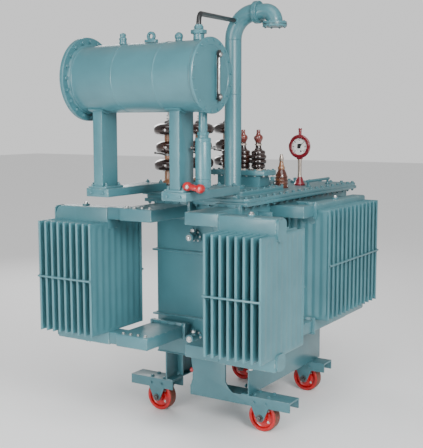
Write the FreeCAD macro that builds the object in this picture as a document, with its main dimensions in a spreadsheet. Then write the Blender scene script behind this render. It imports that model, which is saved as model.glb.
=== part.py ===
"""Oil-filled power transformer with a conservator, four fin radiators and four rollers.

Frame: +Z is up and the rollers stand on Z = 0.  +X runs along the conservator, to the
transformer's right, and +Y runs from the conservator end to the thermometer end.  The
origin is under the middle of the whole object.  Lengths are millimetres.
"""
import FreeCAD, Part
import Sketcher
import math
import os

from FreeCAD import Placement, Rotation, Vector

DIMENSIONS = {
    # tank and cover
    "tank_wide": 590, "tank_long": 1420, "tank_high": 920, "tank_floor": 405, "tank_middle": 320,
    "cover_overhang": 50, "rim_thick": 20, "cover_thick": 20, "corner_round": 24,
    "band_high": 12, "band_deep": 20, "band_low_at": 632, "band_top_at": 1015,
    "lug_out": 90, "lug_thick": 16, "lug_high": 110, "lug_at": 1150, "lug_front": 150,
    "lug_back": 120, "lug_hole_round": 18, "lug_hole_out": 58, "lug_hole_up": 65,
    # radiators and ducts
    "fin_thick": 16, "fin_pitch": 45, "fin_high": 620, "fin_floor": 600, "fin_wide": 470,
    "rad_outer": 710, "rad_front": -950, "left_fins": 9, "right_fins": 8,
    "side_fins": 13, "side_pitch": 62, "side_fin_wide": 275, "side_fin_high": 655,
    "side_front": 75, "side_outer": 600, "side_header_over": 30, "header_deep": 96,
    "header_high": 119, "header_low_high": 94, "header_low_drop": 72, "header_set": 150,
    "header_over": 77, "tie_bar": 10, "boss_out": 10, "duct_high": 68, "duct_left_lead": 311,
    "duct_low_left_lead": 274, "duct_left_gap": 100, "duct_low_left_gap": 63,
    "duct_right_lead": 205, "duct_right_wide": 130, "duct_top_at": 1235, "duct_low_at": 535,
    "duct_lead": 20, "side_duct_drop": 66, "side_duct_long": 160,
    # conservator and its stand
    "drum_round": 176, "drum_long": 758, "drum_axis_at": 1990, "drum_middle": -7, "drum_set": 90,
    "left_flange_round": 220, "left_flange_thick": 24, "right_plate_round": 186,
    "right_plate_thick": 14, "post_wide": 60, "post_deep": 130, "post_wall": 8, "post_foot": 16,
    "post_left_at": -290, "post_right_at": 200, "arm_wide": 150, "arm_high": 45, "arm_wall": 8,
    "arm_reach": 535, "packing_high": 25, "packing_deep": 34, "plug_at": 224, "eye_at": 405,
    "knob_at": 574, "union_at": 692, "fitting_sink": 6, "eye_wide": 70, "eye_foot": 14,
    "eye_round": 24, "eye_rise": 30, "eye_hole_round": 12, "eye_thick": 24, "gauge_high": 210,
    "gauge_wide": 34, "gauge_deep": 14, "gauge_aside": 39, "gauge_end_round": 17,
    "gauge_end_out": 26, "gauge_end_reach": 98,
    # breather and valves
    "breather_aside": 110, "breather_set": 30, "breather_floor": 1422, "breather_pipe_round": 22,
    "valve_rise": 18, "lobe_round": 24, "lobe_long": 44, "lobe_left": 48, "lobe_gap": 75,
    "lobe_set": 64, "lobe_bar": 20, "lobe_bar_deep": 18, "front_valve_gap": 48,
    "front_valve_top_at": 1116, "front_valve_low_at": 532, "spindle_round": 10,
    "spindle_high": 52, "spindle_out": 46,
    # running gear
    "roller_round": 88, "roller_wide": 60, "roller_gap": 22, "hub_round": 30, "hub_long": 80,
    "axle_round": 12, "axle_fit": 0.05, "front_track": 360, "rear_track": 240,
    "front_axle_at": -260, "rear_axle_at": 554, "cross_deep": 120, "cross_high": 58,
    "cross_wall": 10, "front_cross_half": 550, "rear_cross_half": 385, "hanger_wide": 120,
    "hanger_drop": 22, "skid_out": 290, "skid_wide": 50, "skid_wall": 8, "skid_long": 955,
    "web_left": -111, "web_right": 133, "web_foot": 60, "web_curve": 22, "web_notch": 16,
    # bushings and fittings on the cover
    "hv_line": -250, "hv_first": -322, "hv_step": 330, "hv_turret_round": 55,
    "hv_turret_high": 50, "hv_flange_over": 14, "hv_flange_thick": 12, "hv_core_round": 34,
    "hv_shed_round": 88, "hv_shed_first": 137, "hv_shed_pitch": 104, "hv_stud_round": 7,
    "hv_stud_high": 40, "lv_line": 150, "lv_first": 85, "lv_step": 106, "lv_turret_end": 44,
    "lv_turret_half": 61, "lv_turret_high": 99, "lv_plate_thick": 31, "lv_plate_over": 40,
    "lv_plate_lip": 14, "lv_core_round": 26, "lv_shed_round": 50, "lv_shed_first": 30,
    "lv_shed_pitch": 26, "lv_stud_round": 12, "lv_stud_high": 36, "foot_over": 8,
    "plate_left": -172, "plate_right": 215, "plate_front": -300, "plate_back": 265,
    "plate_thick": 25, "plate_corner": 30, "vent_x": 25, "vent_y": -54, "vent_round": 50,
    "vent_bend": 150, "vent_elbow": 60, "vent_top_at": 2387, "vent_flange_round": 64,
    "vent_flange_thick": 14, "vent_foot_over": 22, "vent_mouth_over": 6, "vent_outlet_less": 4,
    "vent_reach": 50, "stub_round": 18, "stub_out": 12, "dial_round": 78, "dial_thick": 34,
    "dial_x": 120, "dial_y": 652, "dial_at": 1600, "dial_neck": 6, "neutral_x": 120,
    "neutral_y": 389, "rail_x": 215, "rail_y": 565, "rail_long": 340, "rail_rise": 34,
    "rail_round": 9, "rail_leg_round": 8, "rail_leg_in": 20,
}

# Turned fittings as (radius, height) steps from the foot upward.
STEPS = {
    "filler_plug": ((20, 24), (13, 38)),
    "relief_knob": ((16, 24), (22, 24)),
    "equalizer_union": ((28, 30), (40, 20), (24, 28)),
    "breather_body": ((30, 14), (40, 250), (28, 12)),
    "front_valve": ((34, 14), (18, 60), (27, 14)),
}
NEUTRAL_PROFILE = ((0, 0), (46, 0), (46, 14), (38, 18), (38, 84), (26, 104), (20, 118), (24, 128),
                   (18, 140), (12, 176), (14, 186), (9, 214), (0, 214))
PIPE_ROUND = 13
PIPE_BENDS = (50, 300)
PIPE_RISE = 54
PIPE_LEAD = 70

doc = FreeCAD.newDocument("power_transformer")
sheet = doc.addObject("Spreadsheet::Sheet", "Dims")
sheet.Label = "driving dimensions"
for row, (name, value) in enumerate(DIMENSIONS.items(), start=1):
    sheet.set(f"A{row}", name)
    sheet.set(f"B{row}", str(value))
    sheet.setAlias(f"B{row}", name)
doc.recompute()

UP = Rotation()
ALONG_X = Rotation(Vector(0, 1, 0), 90)
ALONG_Y = Rotation(Vector(1, 0, 0), -90)
TO_FRONT = Rotation(Vector(1, 0, 0), 90)
SPARE = 20  # how far a cutting block runs past the wall it opens
finished = {}


def bound(text):
    """Turn words of the dimension sheet in a formula into references to its cells."""
    words, word = [], ""
    for mark in str(text) + " ":
        if mark.isalnum() or mark == "_":
            word += mark
            continue
        words.append(f"Dims.{word}" if word in DIMENSIONS else word)
        words.append(mark)
        word = ""
    return "".join(words).strip()


def value_of(text):
    """Work a formula out in plain numbers, for the few shapes that are set by code."""
    probe = sheet.Document.getObject("probe") or sheet.Document.addObject("Part::Box", "probe")
    probe.setExpression("Placement.Base.x", bound(text))
    probe.recompute()
    return probe.Placement.Base.x


def put(thing, x, y, z, turn=UP):
    """Place an object at formulas x, y, z, turned by a fixed rotation."""
    thing.Placement = Placement(Vector(0, 0, 0), turn)
    for axis, text in zip("xyz", (x, y, z)):
        thing.setExpression(f"Placement.Base.{axis}", bound(text))
    return thing


def box(wide, deep, high, x, y, z):
    """Make a block whose low corner is at x, y, z."""
    thing = doc.addObject("Part::Box", "block")
    for side, text in (("Length", wide), ("Width", deep), ("Height", high)):
        thing.setExpression(side, bound(text))
    return put(thing, x, y, z)


def rod(radius, length, x, y, z, turn=UP):
    """Make a round bar from the point x, y, z along the turned axis."""
    thing = doc.addObject("Part::Cylinder", "rod")
    thing.setExpression("Radius", bound(radius))
    thing.setExpression("Height", bound(length))
    return put(thing, x, y, z, turn)


def fuse(*things):
    """Join touching objects into one."""
    whole = doc.addObject("Part::MultiFuse", "joined")
    whole.Shapes = list(things)
    whole.Refine = True
    return whole


def cut(base, *tools):
    """Take tools out of a base, one after the other."""
    for tool in tools:
        less = doc.addObject("Part::Cut", "cut")
        less.Base, less.Tool, less.Refine = base, tool, True
        base = less
    return base


def group(*things):
    """Keep like pieces that do not touch in one node."""
    whole = doc.addObject("Part::Compound", "set")
    whole.Links = list(things)
    return whole


def finish(node, thing):
    """Name a finished sub-part; its label names its file."""
    thing.Label = node
    finished[node] = thing
    return thing


def outline(body, name, role, points):
    """Draw a closed outline on an origin plane of its body, each corner bound to formulas.

    A corner is a pair of formulas; the text "0" pins it to the axis of the sketch.
    """
    sketch = body.newObject("Sketcher::SketchObject", name)
    plane = next(p for p in body.Origin.OriginFeatures if p.Role == role)
    sketch.AttachmentSupport = [(plane, "")]
    sketch.MapMode = "FlatFace"
    numbers = [Vector(value_of(a), value_of(b), 0) for a, b in points]
    for start, end in zip(numbers, numbers[1:] + numbers[:1]):
        sketch.addGeometry(Part.LineSegment(start, end), False)
    count = len(points)
    for index in range(count):
        after = (index + 1) % count
        sketch.addConstraint(Sketcher.Constraint("Coincident", index, 2, after, 1))
    for index, (across, along) in enumerate(points):
        for kind, axis, text, number in (("DistanceX", -2, across, numbers[index].x),
                                         ("DistanceY", -1, along, numbers[index].y)):
            if str(text) == "0":
                rule = Sketcher.Constraint("PointOnObject", index, 1, axis)
                sketch.addConstraint(rule)
                continue
            rule = Sketcher.Constraint(kind, -1, 1, index, 1, number)
            place = sketch.addConstraint(rule)
            sketch.setExpression(f"Constraints[{place}]", bound(text))
    return sketch


def turned(name, points, x, y, z, turn=UP):
    """Turn an outline of (radius, height) corners about its own upright axis."""
    body = doc.addObject("PartDesign::Body", name)
    sketch = outline(body, name + "_profile", "XZ_Plane", points)
    doc.recompute()
    feature = body.newObject("PartDesign::Revolution", name + "_turned")
    feature.Profile = sketch
    feature.ReferenceAxis = (sketch, ["V_Axis"])
    feature.Angle = 360
    put(body, x, y, z, turn)
    return body


def stepped(name, x, y, z, turn=UP):
    """Turn one of the stepped fittings about its own axis."""
    points, level = [("0", "0")], 0
    for radius, high in STEPS[name]:
        points += [(radius, level or "0"), (radius, level + high)]
        level += high
    return turned(name, points + [("0", level)], x, y, z, turn)


def height_of(name):
    """Give the whole height of a stepped fitting."""
    return sum(high for _, high in STEPS[name])


def padded(name, points, thick, x, y, z, role="XY_Plane", turn=UP):
    """Pad an outline by a formula, from an origin plane of its own body."""
    body = doc.addObject("PartDesign::Body", name)
    sketch = outline(body, name + "_outline", role, points)
    doc.recompute()
    feature = body.newObject("PartDesign::Pad", name + "_pad")
    feature.Profile = sketch
    feature.setExpression("Length", bound(thick))
    put(body, x, y, z, turn)
    return body


# Heights and edges that several sub-parts share, as formulas of the sheet.
TANK_TOP = "(tank_floor + tank_high)"
COVER_TOP = "(tank_floor + tank_high + cover_thick)"
TANK_FRONT = "(tank_middle - tank_long / 2)"
TANK_BACK = "(tank_middle + tank_long / 2)"
DRUM_Y = "(rad_front + drum_set)"
DRUM_LEFT = "(drum_middle - drum_long / 2)"
DRUM_RIGHT = "(drum_middle + drum_long / 2)"
DRUM_TOP = "(drum_axis_at + drum_round)"
HEADER_FRONT = "(rad_front + header_set)"
LEFT_INNER = "(-rad_outer + (left_fins - 1) * fin_pitch + fin_thick)"
RIGHT_INNER = "(rad_outer - (right_fins - 1) * fin_pitch - fin_thick)"
CROSS_TOP = "(2 * roller_round + roller_gap + cross_wall)"
CROSS_FLOOR = f"({CROSS_TOP} - cross_high)"
RAISED_TOP = f"({COVER_TOP} + plate_thick)"
STAND_TOP = f"({COVER_TOP} + packing_high + arm_high)"


# ---------------------------------------------------------------- tank and cover
def collar(node, over, high, level):
    """Build a square ring that sits tight round the tank wall."""
    ring = box(f"tank_wide + 2 * {over}", f"tank_long + 2 * {over}", high,
               f"-tank_wide / 2 - {over}", f"{TANK_FRONT} - {over}", level)
    core = box("tank_wide", "tank_long", f"{high} + 2 * {SPARE}", "-tank_wide / 2", TANK_FRONT,
               f"{level} - {SPARE}")
    finish(node, cut(ring, core))


def eight_corners(left, right, front, back, chamfer):
    """Give the corners of a rectangle whose four corners are cut off."""
    return [(right, f"{back} - {chamfer}"), (f"{right} - {chamfer}", back),
            (f"{left} + {chamfer}", back), (left, f"{back} - {chamfer}"),
            (left, f"{front} + {chamfer}"), (f"{left} + {chamfer}", front),
            (f"{right} - {chamfer}", front), (right, f"{front} + {chamfer}")]


def make_tank():
    """Build the closed tank, its top rim, the bolted cover and the two stiffening bands."""
    finish("tank_body", box("tank_wide", "tank_long", "tank_high",
                            "-tank_wide / 2", TANK_FRONT, "tank_floor"))
    collar("tank_rim", "cover_overhang", "rim_thick", f"({TANK_TOP} - rim_thick)")
    collar("stiffener_lower", "band_deep", "band_high", "band_low_at")
    collar("stiffener_upper", "band_deep", "band_high", "band_top_at")
    half, deep = "(tank_wide / 2 + cover_overhang)", "(tank_long / 2 + cover_overhang)"
    corners = eight_corners(f"-{half}", half, f"-{deep}", deep, "corner_round")
    finish("cover_plate", padded("cover", corners, "cover_thick", "0", "tank_middle", TANK_TOP))


def make_lugs():
    """Build the four lifting lugs on the tank's long walls, drilled for a shackle."""
    lugs = []
    for side in (1, -1):
        low_x = "tank_wide / 2" if side > 0 else "-tank_wide / 2 - lug_out"
        hole_x = f"{side} * (tank_wide / 2 + lug_hole_out)"
        for lug_y in (f"{TANK_FRONT} + lug_front", f"{TANK_BACK} - lug_back"):
            plate = box("lug_out", "lug_thick", "lug_high", low_x, lug_y, "lug_at")
            hole = rod("lug_hole_round", f"lug_thick + 2 * {SPARE}", hole_x, f"{lug_y} - {SPARE}",
                       "lug_at + lug_hole_up", ALONG_Y)
            lugs.append(cut(plate, hole))
    finish("lifting_lugs", group(*lugs))


# ---------------------------------------------------------------- radiators and ducts
def make_front_radiator(node, side, fins):
    """Build one front radiator: fins stacked along X, a header above and below, tie bars."""
    stack = f"(({fins} - 1) * fin_pitch + fin_thick)"
    low_x = "-rad_outer" if side < 0 else f"rad_outer - {stack}"
    head_x = f"{low_x} - boss_out" if side < 0 else low_x
    pieces = [box("fin_thick", "fin_wide", "fin_high", f"{low_x} + {index} * fin_pitch",
                  "rad_front", "fin_floor") for index in range(DIMENSIONS[fins])]
    for high, level in (("header_high", "fin_floor + fin_high + header_over - header_high"),
                        ("header_low_high", "fin_floor - header_low_drop")):
        pieces.append(box(f"{stack} + boss_out", "header_deep", high, head_x, HEADER_FRONT, level))
    for face in ("rad_front - tie_bar", "rad_front + fin_wide"):
        pieces.append(box(stack, "tie_bar", "tie_bar", low_x, face,
                          "fin_floor + fin_high / 2 - tie_bar / 2"))
    finish(node, fuse(*pieces))


def make_side_radiator(node, side):
    """Build one side radiator: fins stacked along Y, a header above and below, tie bar."""
    stack = "((side_fins - 1) * side_pitch + fin_thick)"
    low_x = "side_outer - side_fin_wide" if side > 0 else "-side_outer"
    head_x = f"{low_x} + (side_fin_wide - header_deep) / 2"
    bar_x = "side_outer" if side > 0 else "-side_outer - tie_bar"
    pieces = [box("side_fin_wide", "fin_thick", "side_fin_high", low_x,
                  f"side_front + {index} * side_pitch", "fin_floor")
              for index in range(DIMENSIONS["side_fins"])]
    for high, level in (("header_high",
                         "fin_floor + side_fin_high + side_header_over - header_high"),
                        ("header_low_high", "fin_floor - header_low_drop")):
        pieces.append(box("header_deep", stack, high, head_x, "side_front", level))
    pieces.append(box("tie_bar", stack, "tie_bar", bar_x, "side_front",
                      "fin_floor + side_fin_high / 2 - tie_bar / 2"))
    finish(node, fuse(*pieces))


def make_ducts():
    """Build the flat ducts that carry oil between the tank walls and the radiator headers."""
    back_long = f"{TANK_FRONT} - rad_front - header_set"
    right_in = f"({RIGHT_INNER} - duct_right_lead)"
    for node, level, lead, gap in (
            ("front_ducts_top", "duct_top_at", "duct_left_lead", "duct_left_gap"),
            ("front_ducts_bottom", "duct_low_at", "duct_low_left_lead", "duct_low_left_gap")):
        left = fuse(
            box(lead, "header_deep", "duct_high", LEFT_INNER, HEADER_FRONT, level),
            box(f"{lead} - {gap}", f"{back_long} + duct_lead", "duct_high",
                f"{LEFT_INNER} + {gap}", f"{HEADER_FRONT} - duct_lead", level))
        right = fuse(
            box("duct_right_lead", "header_deep", "duct_high", right_in, HEADER_FRONT, level),
            box("duct_right_wide", back_long, "duct_high", right_in, HEADER_FRONT, level))
        finish(node, group(left, right))
    middle = "(side_outer - side_fin_wide / 2 + header_deep / 2)"
    for node, level in (("side_ducts_top",
                         "fin_floor + side_fin_high + side_header_over - duct_high"),
                        ("side_ducts_bottom", "fin_floor - side_duct_drop")):
        arms = []
        for side in (1, -1):
            low_x = "tank_wide / 2" if side > 0 else f"-{middle}"
            turn_x = f"{middle} - header_deep" if side > 0 else f"-{middle}"
            start_y = "side_front - side_duct_long"
            arms.append(fuse(
                box(f"{middle} - tank_wide / 2", "header_deep", "duct_high", low_x, start_y, level),
                box("header_deep", "side_duct_long", "duct_high", turn_x, start_y, level)))
        finish(node, group(*arms))


# ---------------------------------------------------------------- running gear
def hanger(track, axle_y, face):
    """Build one tapered plate that hangs from a cross channel and holds an axle end."""
    half, waist, toe = "hanger_wide / 2", "hanger_wide / 5", "hanger_wide / 9"
    top, low = f"{CROSS_FLOOR} + cross_wall", "roller_round - hanger_drop"
    points = [(half, top), (f"-{half}", top), (f"-{waist}", f"{low} + hanger_drop * 2 / 3"),
              (f"-{toe}", low), (toe, low), (waist, f"{low} + hanger_drop * 2 / 3")]
    front = f"{axle_y} - cross_deep / 2" if face < 0 else f"{axle_y} + cross_deep / 2 - cross_wall"
    return padded("hanger", points, "cross_wall", track, f"{front} + cross_wall", "0", "XZ_Plane")


def cross_channel(low_x, length, axle_y):
    """Build a channel, open below, that lies across the base over its rollers."""
    front = f"{axle_y} - cross_deep / 2"
    outer = box(length, "cross_deep", "cross_high", low_x, front, CROSS_FLOOR)
    inner = box(f"{length} + 2 * {SPARE}", "cross_deep - 2 * cross_wall", "cross_high - cross_wall",
                f"{low_x} - {SPARE}", f"{front} + cross_wall", CROSS_FLOOR)
    return cut(outer, inner)


def carried(channel, tracks, axle_y):
    """Join a cross channel with the hangers and fixed axle pins of its rollers."""
    pieces = [channel]
    for track in tracks:
        pieces += [hanger(track, axle_y, -1), hanger(track, axle_y, 1),
                   rod("axle_round", "cross_deep", track, f"{axle_y} - cross_deep / 2",
                       "roller_round", ALONG_Y)]
    return fuse(*pieces)


def roller_profile():
    """Draw half the section of a roller: a dished disc with a bored hub."""
    half, hub, bore = "roller_wide / 2", "hub_long / 2", "axle_round + axle_fit"
    flank = [("hub_round", f"{hub}"), ("hub_round", f"{half} - 22"),
             ("roller_round - 22", f"{half} - 16"), ("roller_round - 18", half),
             ("roller_round - 5", half), ("roller_round", f"{half} - 6")]
    upper = [(bore, hub)] + flank
    lower = [(across, f"-({along})") for across, along in upper]
    return lower + upper[::-1]


def make_base():
    """Build the skids, the cross channels with their axles and the four rollers."""
    start_y = "front_axle_at - cross_deep / 2"
    for node, side in (("skid_left", -1), ("skid_right", 1)):
        low_x = "skid_out - skid_wide" if side > 0 else "-skid_out"
        outer = box("skid_wide", "skid_long", f"tank_floor - {CROSS_TOP}", low_x, start_y,
                    CROSS_TOP)
        hollow = box("skid_wide", f"skid_long + 2 * {SPARE}",
                     f"tank_floor - {CROSS_TOP} - 2 * skid_wall", f"{low_x} - {side} * skid_wall",
                     f"{start_y} - {SPARE}", f"{CROSS_TOP} + skid_wall")
        finish(node, cut(outer, hollow))
    stub = cross_channel("-front_cross_half", "front_cross_half - skid_out + skid_wide",
                         "front_axle_at")
    finish("base_stub_front_left", carried(stub, ["-front_track"], "front_axle_at"))
    web_x, notch_x = "web_left", "web_left + web_notch"
    web_points = [(web_x, f"{CROSS_TOP} - cross_wall"),
                  ("web_right + web_foot", f"{CROSS_TOP} - cross_wall"),
                  ("web_right + web_curve", f"{CROSS_TOP} + 20"),
                  ("web_right", f"{CROSS_TOP} + 55"), ("web_right", "tank_floor"),
                  (web_x, "tank_floor"), (notch_x, f"{CROSS_TOP} + 110"),
                  (notch_x, f"{CROSS_TOP} + 40")]
    web = padded("web", web_points, "cross_wall", "0", f"{start_y} + cross_wall", "0", "XZ_Plane")
    long_arm = cross_channel("web_left", "front_cross_half - web_left", "front_axle_at")
    finish("base_cross_front",
           fuse(carried(long_arm, ["front_track"], "front_axle_at"), web))
    rear = cross_channel("-rear_cross_half", "2 * rear_cross_half", "rear_axle_at")
    finish("base_cross_rear", carried(rear, ["-rear_track", "rear_track"], "rear_axle_at"))
    for end in ("front", "rear"):
        for node, sign in ((f"roller_{end}_left", "-"), (f"roller_{end}_right", "")):
            finish(node, turned(node, roller_profile(), f"{sign}{end}_track", f"{end}_axle_at",
                                "roller_round", ALONG_Y))


# ---------------------------------------------------------------- conservator
def drum_tool(spare):
    """Make the drum's cylinder, run past each end by a number, to trim what touches it."""
    return rod("drum_round", f"drum_long + 2 * {spare}", f"{DRUM_LEFT} - {spare}", DRUM_Y,
               "drum_axis_at", ALONG_X)


def make_conservator():
    """Build the conservator drum, its end plates and the fittings on it."""
    axis = (DRUM_Y, "drum_axis_at", ALONG_X)
    finish("conservator_shell", drum_tool(0))
    finish("conservator_end_left", rod("left_flange_round", "left_flange_thick",
                                       f"{DRUM_LEFT} - left_flange_thick", *axis))
    finish("conservator_end_right", rod("right_plate_round", "right_plate_thick", DRUM_RIGHT,
                                        *axis))
    gauge_x, gauge_y = f"{DRUM_RIGHT} + right_plate_thick", f"{DRUM_Y} + gauge_aside"
    gauge = [box("gauge_deep", "gauge_wide", "gauge_high", gauge_x, f"{gauge_y} - gauge_wide / 2",
                 "drum_axis_at - gauge_high / 2")]
    for sign in "+-":
        gauge.append(rod("gauge_end_round", "gauge_end_out", gauge_x, gauge_y,
                         f"drum_axis_at {sign} gauge_end_reach", ALONG_X))
    finish("oil_level_gauge", fuse(*gauge))
    foot = f"{DRUM_TOP} - fitting_sink"
    eye_x, eye_z = f"{DRUM_LEFT} + eye_at", f"{DRUM_TOP} + eye_rise"
    eye = fuse(box("eye_wide", "eye_thick", "eye_foot + fitting_sink", f"{eye_x} - eye_wide / 2",
                   f"{DRUM_Y} - eye_thick / 2", foot),
               rod("eye_round", "eye_foot", eye_x, f"{DRUM_Y} - eye_foot / 2", eye_z, ALONG_Y))
    hole = rod("eye_hole_round", f"eye_thick + 2 * {SPARE}", eye_x,
               f"{DRUM_Y} - eye_thick / 2 - {SPARE}", eye_z, ALONG_Y)
    finish("conservator_lifting_eye", cut(eye, hole, drum_tool(SPARE)))
    for node, at in (("filler_plug", "plug_at"), ("relief_knob", "knob_at"),
                     ("equalizer_union", "union_at")):
        fitting = stepped(node, f"{DRUM_LEFT} + {at}", DRUM_Y, foot)
        finish(node, cut(fitting, drum_tool(SPARE)))


def make_stand():
    """Build the two posts under the drum, the two arms they stand on and their packings."""
    arm_z, arm_y = f"{COVER_TOP} + packing_high", f"{DRUM_Y} - arm_wide / 2"
    pads = []
    for side in ("left", "right"):
        at = f"post_{side}_at"
        post_x, post_y = f"{at} - post_wide / 2", f"{DRUM_Y} - post_deep / 2"
        outer = box("post_wide", "post_deep", f"drum_axis_at - {STAND_TOP}", post_x, post_y,
                    STAND_TOP)
        hollow = box("post_wide", "post_deep - 2 * post_wall", f"drum_axis_at - {STAND_TOP}",
                     f"{post_x} - post_wall", f"{post_y} + post_wall", f"{STAND_TOP} + post_foot")
        finish(f"conservator_post_{side}", cut(outer, hollow, drum_tool(SPARE)))
        arm_x = f"{at} - arm_wide / 2"
        outer = box("arm_wide", "arm_reach", "arm_high", arm_x, arm_y, arm_z)
        hollow = box("arm_wide - 2 * arm_wall", f"arm_reach + 2 * {SPARE}", "arm_high - arm_wall",
                     f"{arm_x} + arm_wall", f"{arm_y} - {SPARE}", arm_z)
        finish(f"conservator_arm_{side}", cut(outer, hollow))
        pads.append(box("arm_wide", "packing_deep", "packing_high", arm_x,
                        f"{arm_y} + arm_reach - packing_deep", COVER_TOP))
    finish("arm_packings", group(*pads))


# ---------------------------------------------------------------- breather and valves
def make_breather():
    """Build the breather that hangs from the conservator, and the red valve below it."""
    at_x, at_y = "(post_right_at + breather_aside)", f"({DRUM_Y} + breather_set)"
    pipe_foot = f"(breather_floor + {height_of('breather_body')})"
    pipe = rod("breather_pipe_round", f"drum_axis_at - {pipe_foot}", at_x, at_y, pipe_foot)
    finish("breather_pipe", cut(pipe, drum_tool(0)))
    finish("breather_body", stepped("breather_body", at_x, at_y, "breather_floor"))
    middle_z, lobe_y = "breather_floor + valve_rise", f"{DRUM_Y} - lobe_set"
    left_x = f"({at_x} - lobe_left)"
    bar_y, bar_z = f"{lobe_y} + lobe_bar", f"{middle_z} - lobe_bar / 2"
    stub = cut(box("lobe_bar", "lobe_bar_deep + lobe_bar", "lobe_bar", f"{at_x} - lobe_bar / 2",
                   bar_y, bar_z),
               rod(STEPS["breather_body"][1][0], "drum_axis_at", at_x, at_y, "0"))
    lobes = [rod("lobe_round", "lobe_long", x, lobe_y, middle_z, ALONG_Y)
             for x in (left_x, f"{left_x} + lobe_gap")]
    finish("breather_valve",
           fuse(stub, box("lobe_gap", "lobe_bar_deep", "lobe_bar", left_x, bar_y, bar_z), *lobes))


def make_front_valves():
    """Build the filter valve and the drain valve on the tank's front wall."""
    at_x = f"({LEFT_INNER} + duct_low_left_lead + front_valve_gap)"
    valves = []
    for level in ("front_valve_top_at", "front_valve_low_at"):
        valves.append(fuse(stepped("front_valve", at_x, TANK_FRONT, level, TO_FRONT),
                           rod("spindle_round", "spindle_high", at_x,
                               f"{TANK_FRONT} - spindle_out", level)))
    finish("front_valves", group(*valves))


# ---------------------------------------------------------------- cover fittings
def make_equalizer(joint):
    """Build the thin pipe from the union on the conservator to the stub on the vent's bend."""
    union_top = f"{DRUM_TOP} - fitting_sink + {height_of('equalizer_union')}"
    start = Vector(value_of(f"{DRUM_LEFT} + union_at"), value_of(DRUM_Y), value_of(union_top))
    end = Vector(*joint)
    corners = [start, Vector(start.x, start.y, start.z + PIPE_RISE),
               Vector(end.x, end.y - PIPE_LEAD, end.z), end]
    edges, last = [], start
    for before, corner, after, radius in zip(corners, corners[1:], corners[2:], PIPE_BENDS):
        inward, outward = (corner - before).normalize(), (after - corner).normalize()
        turn = inward.getAngle(outward)
        reach = radius * math.tan(turn / 2)
        first, second = corner - inward * reach, corner + outward * reach
        across = (outward - inward).normalize()
        middle = corner + across * (radius / math.cos(turn / 2) - radius)
        edges += [Part.LineSegment(last, first).toShape(), Part.Arc(first, middle, second).toShape()]
        last = second
    edges.append(Part.LineSegment(last, end).toShape())
    section = Part.Wire(Part.makeCircle(PIPE_ROUND, start, Vector(0, 0, 1)))
    pipe = doc.addObject("Part::Feature", "equalizer")
    pipe.Shape = Part.Wire(edges).makePipeShell([section], True, False)
    finish("equalizer_pipe", pipe)


def quarter_bend(radius, tube, turn, x, z):
    """Make a quarter of a bent pipe in the upright plane of the vent."""
    bend = doc.addObject("Part::Torus", "bend")
    bend.setExpression("Radius1", bound(radius))
    bend.setExpression("Radius2", bound(tube))
    bend.Angle3 = 90
    upright = Rotation(Vector(1, 0, 0), 90) * Rotation(Vector(0, 0, 1), turn)
    return put(bend, x, "vent_y", z, upright)


def make_vent():
    """Build the explosion vent: riser, bend, its flanged outlet, and the equalizer pipe."""
    riser_top = "(vent_top_at - vent_bend)"
    axis = ("vent_y", "vent_top_at", ALONG_X)
    flange_x = "(vent_x + vent_bend)"
    along = f"{math.cos(math.pi / 4):.8f}"
    joint = (f"vent_x + vent_bend * (1 - {along})", "vent_y - vent_round - stub_out",
             f"{riser_top} + vent_bend * {along}")
    finish("vent_pipe", fuse(
        rod("vent_round", f"{riser_top} - {RAISED_TOP}", "vent_x", "vent_y", RAISED_TOP),
        rod("vent_round + vent_foot_over", "vent_flange_thick", "vent_x", "vent_y", RAISED_TOP),
        quarter_bend("vent_bend", "vent_round", 90, flange_x, riser_top),
        rod("vent_flange_round", "vent_flange_thick", flange_x, *axis),
        rod("stub_round", "vent_round + stub_out", *joint, ALONG_Y)))
    make_equalizer([value_of(text) for text in joint])
    out_x = f"({flange_x} + vent_flange_thick)"
    mouth_x, elbow_z = f"({out_x} + vent_reach)", "(vent_top_at - vent_elbow)"
    tube = "vent_round - vent_outlet_less"
    finish("vent_outlet", fuse(
        rod("vent_flange_round", "vent_flange_thick", out_x, *axis),
        rod(tube, "vent_reach", out_x, *axis),
        quarter_bend("vent_elbow", tube, 0, mouth_x, elbow_z),
        rod("vent_flange_round + vent_mouth_over", "2 * vent_flange_thick",
            f"{mouth_x} + vent_elbow", "vent_y", f"{elbow_z} - 2 * vent_flange_thick")))


def make_plate():
    """Build the raised plate that carries the vent and the low-voltage turret."""
    corners = eight_corners("plate_left", "plate_right", "plate_front", "plate_back",
                            "plate_corner")
    finish("raised_plate", padded("raised", corners, "plate_thick", "0", "0", COVER_TOP))


def sheds(kind, count, half, droop):
    """Draw the drooping sheds of a bushing from its lowest upward.

    Each shed leaves the core between half below and half above its middle; its tip hangs
    lower than the middle by the droop.
    """
    core, shed = f"{kind}_core_round", f"{kind}_shed_round"
    points = []
    for index in range(count):
        middle = f"{kind}_shed_first + {index} * {kind}_shed_pitch"
        points += [(core, f"{middle} - {half}"), (shed, f"{middle} - {droop} - {half / 2}"),
                   (shed, f"{middle} - {droop} + 1"), (core, f"{middle} + {half}")]
    return points


def bushing_foot(kind, foot, shoulder):
    """Draw a bushing's foot: a low wider disc that the core rises from."""
    wide = f"{kind}_core_round + foot_over"
    return [("0", "0"), (wide, "0"), (wide, foot), (f"{kind}_core_round", shoulder)]


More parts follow.
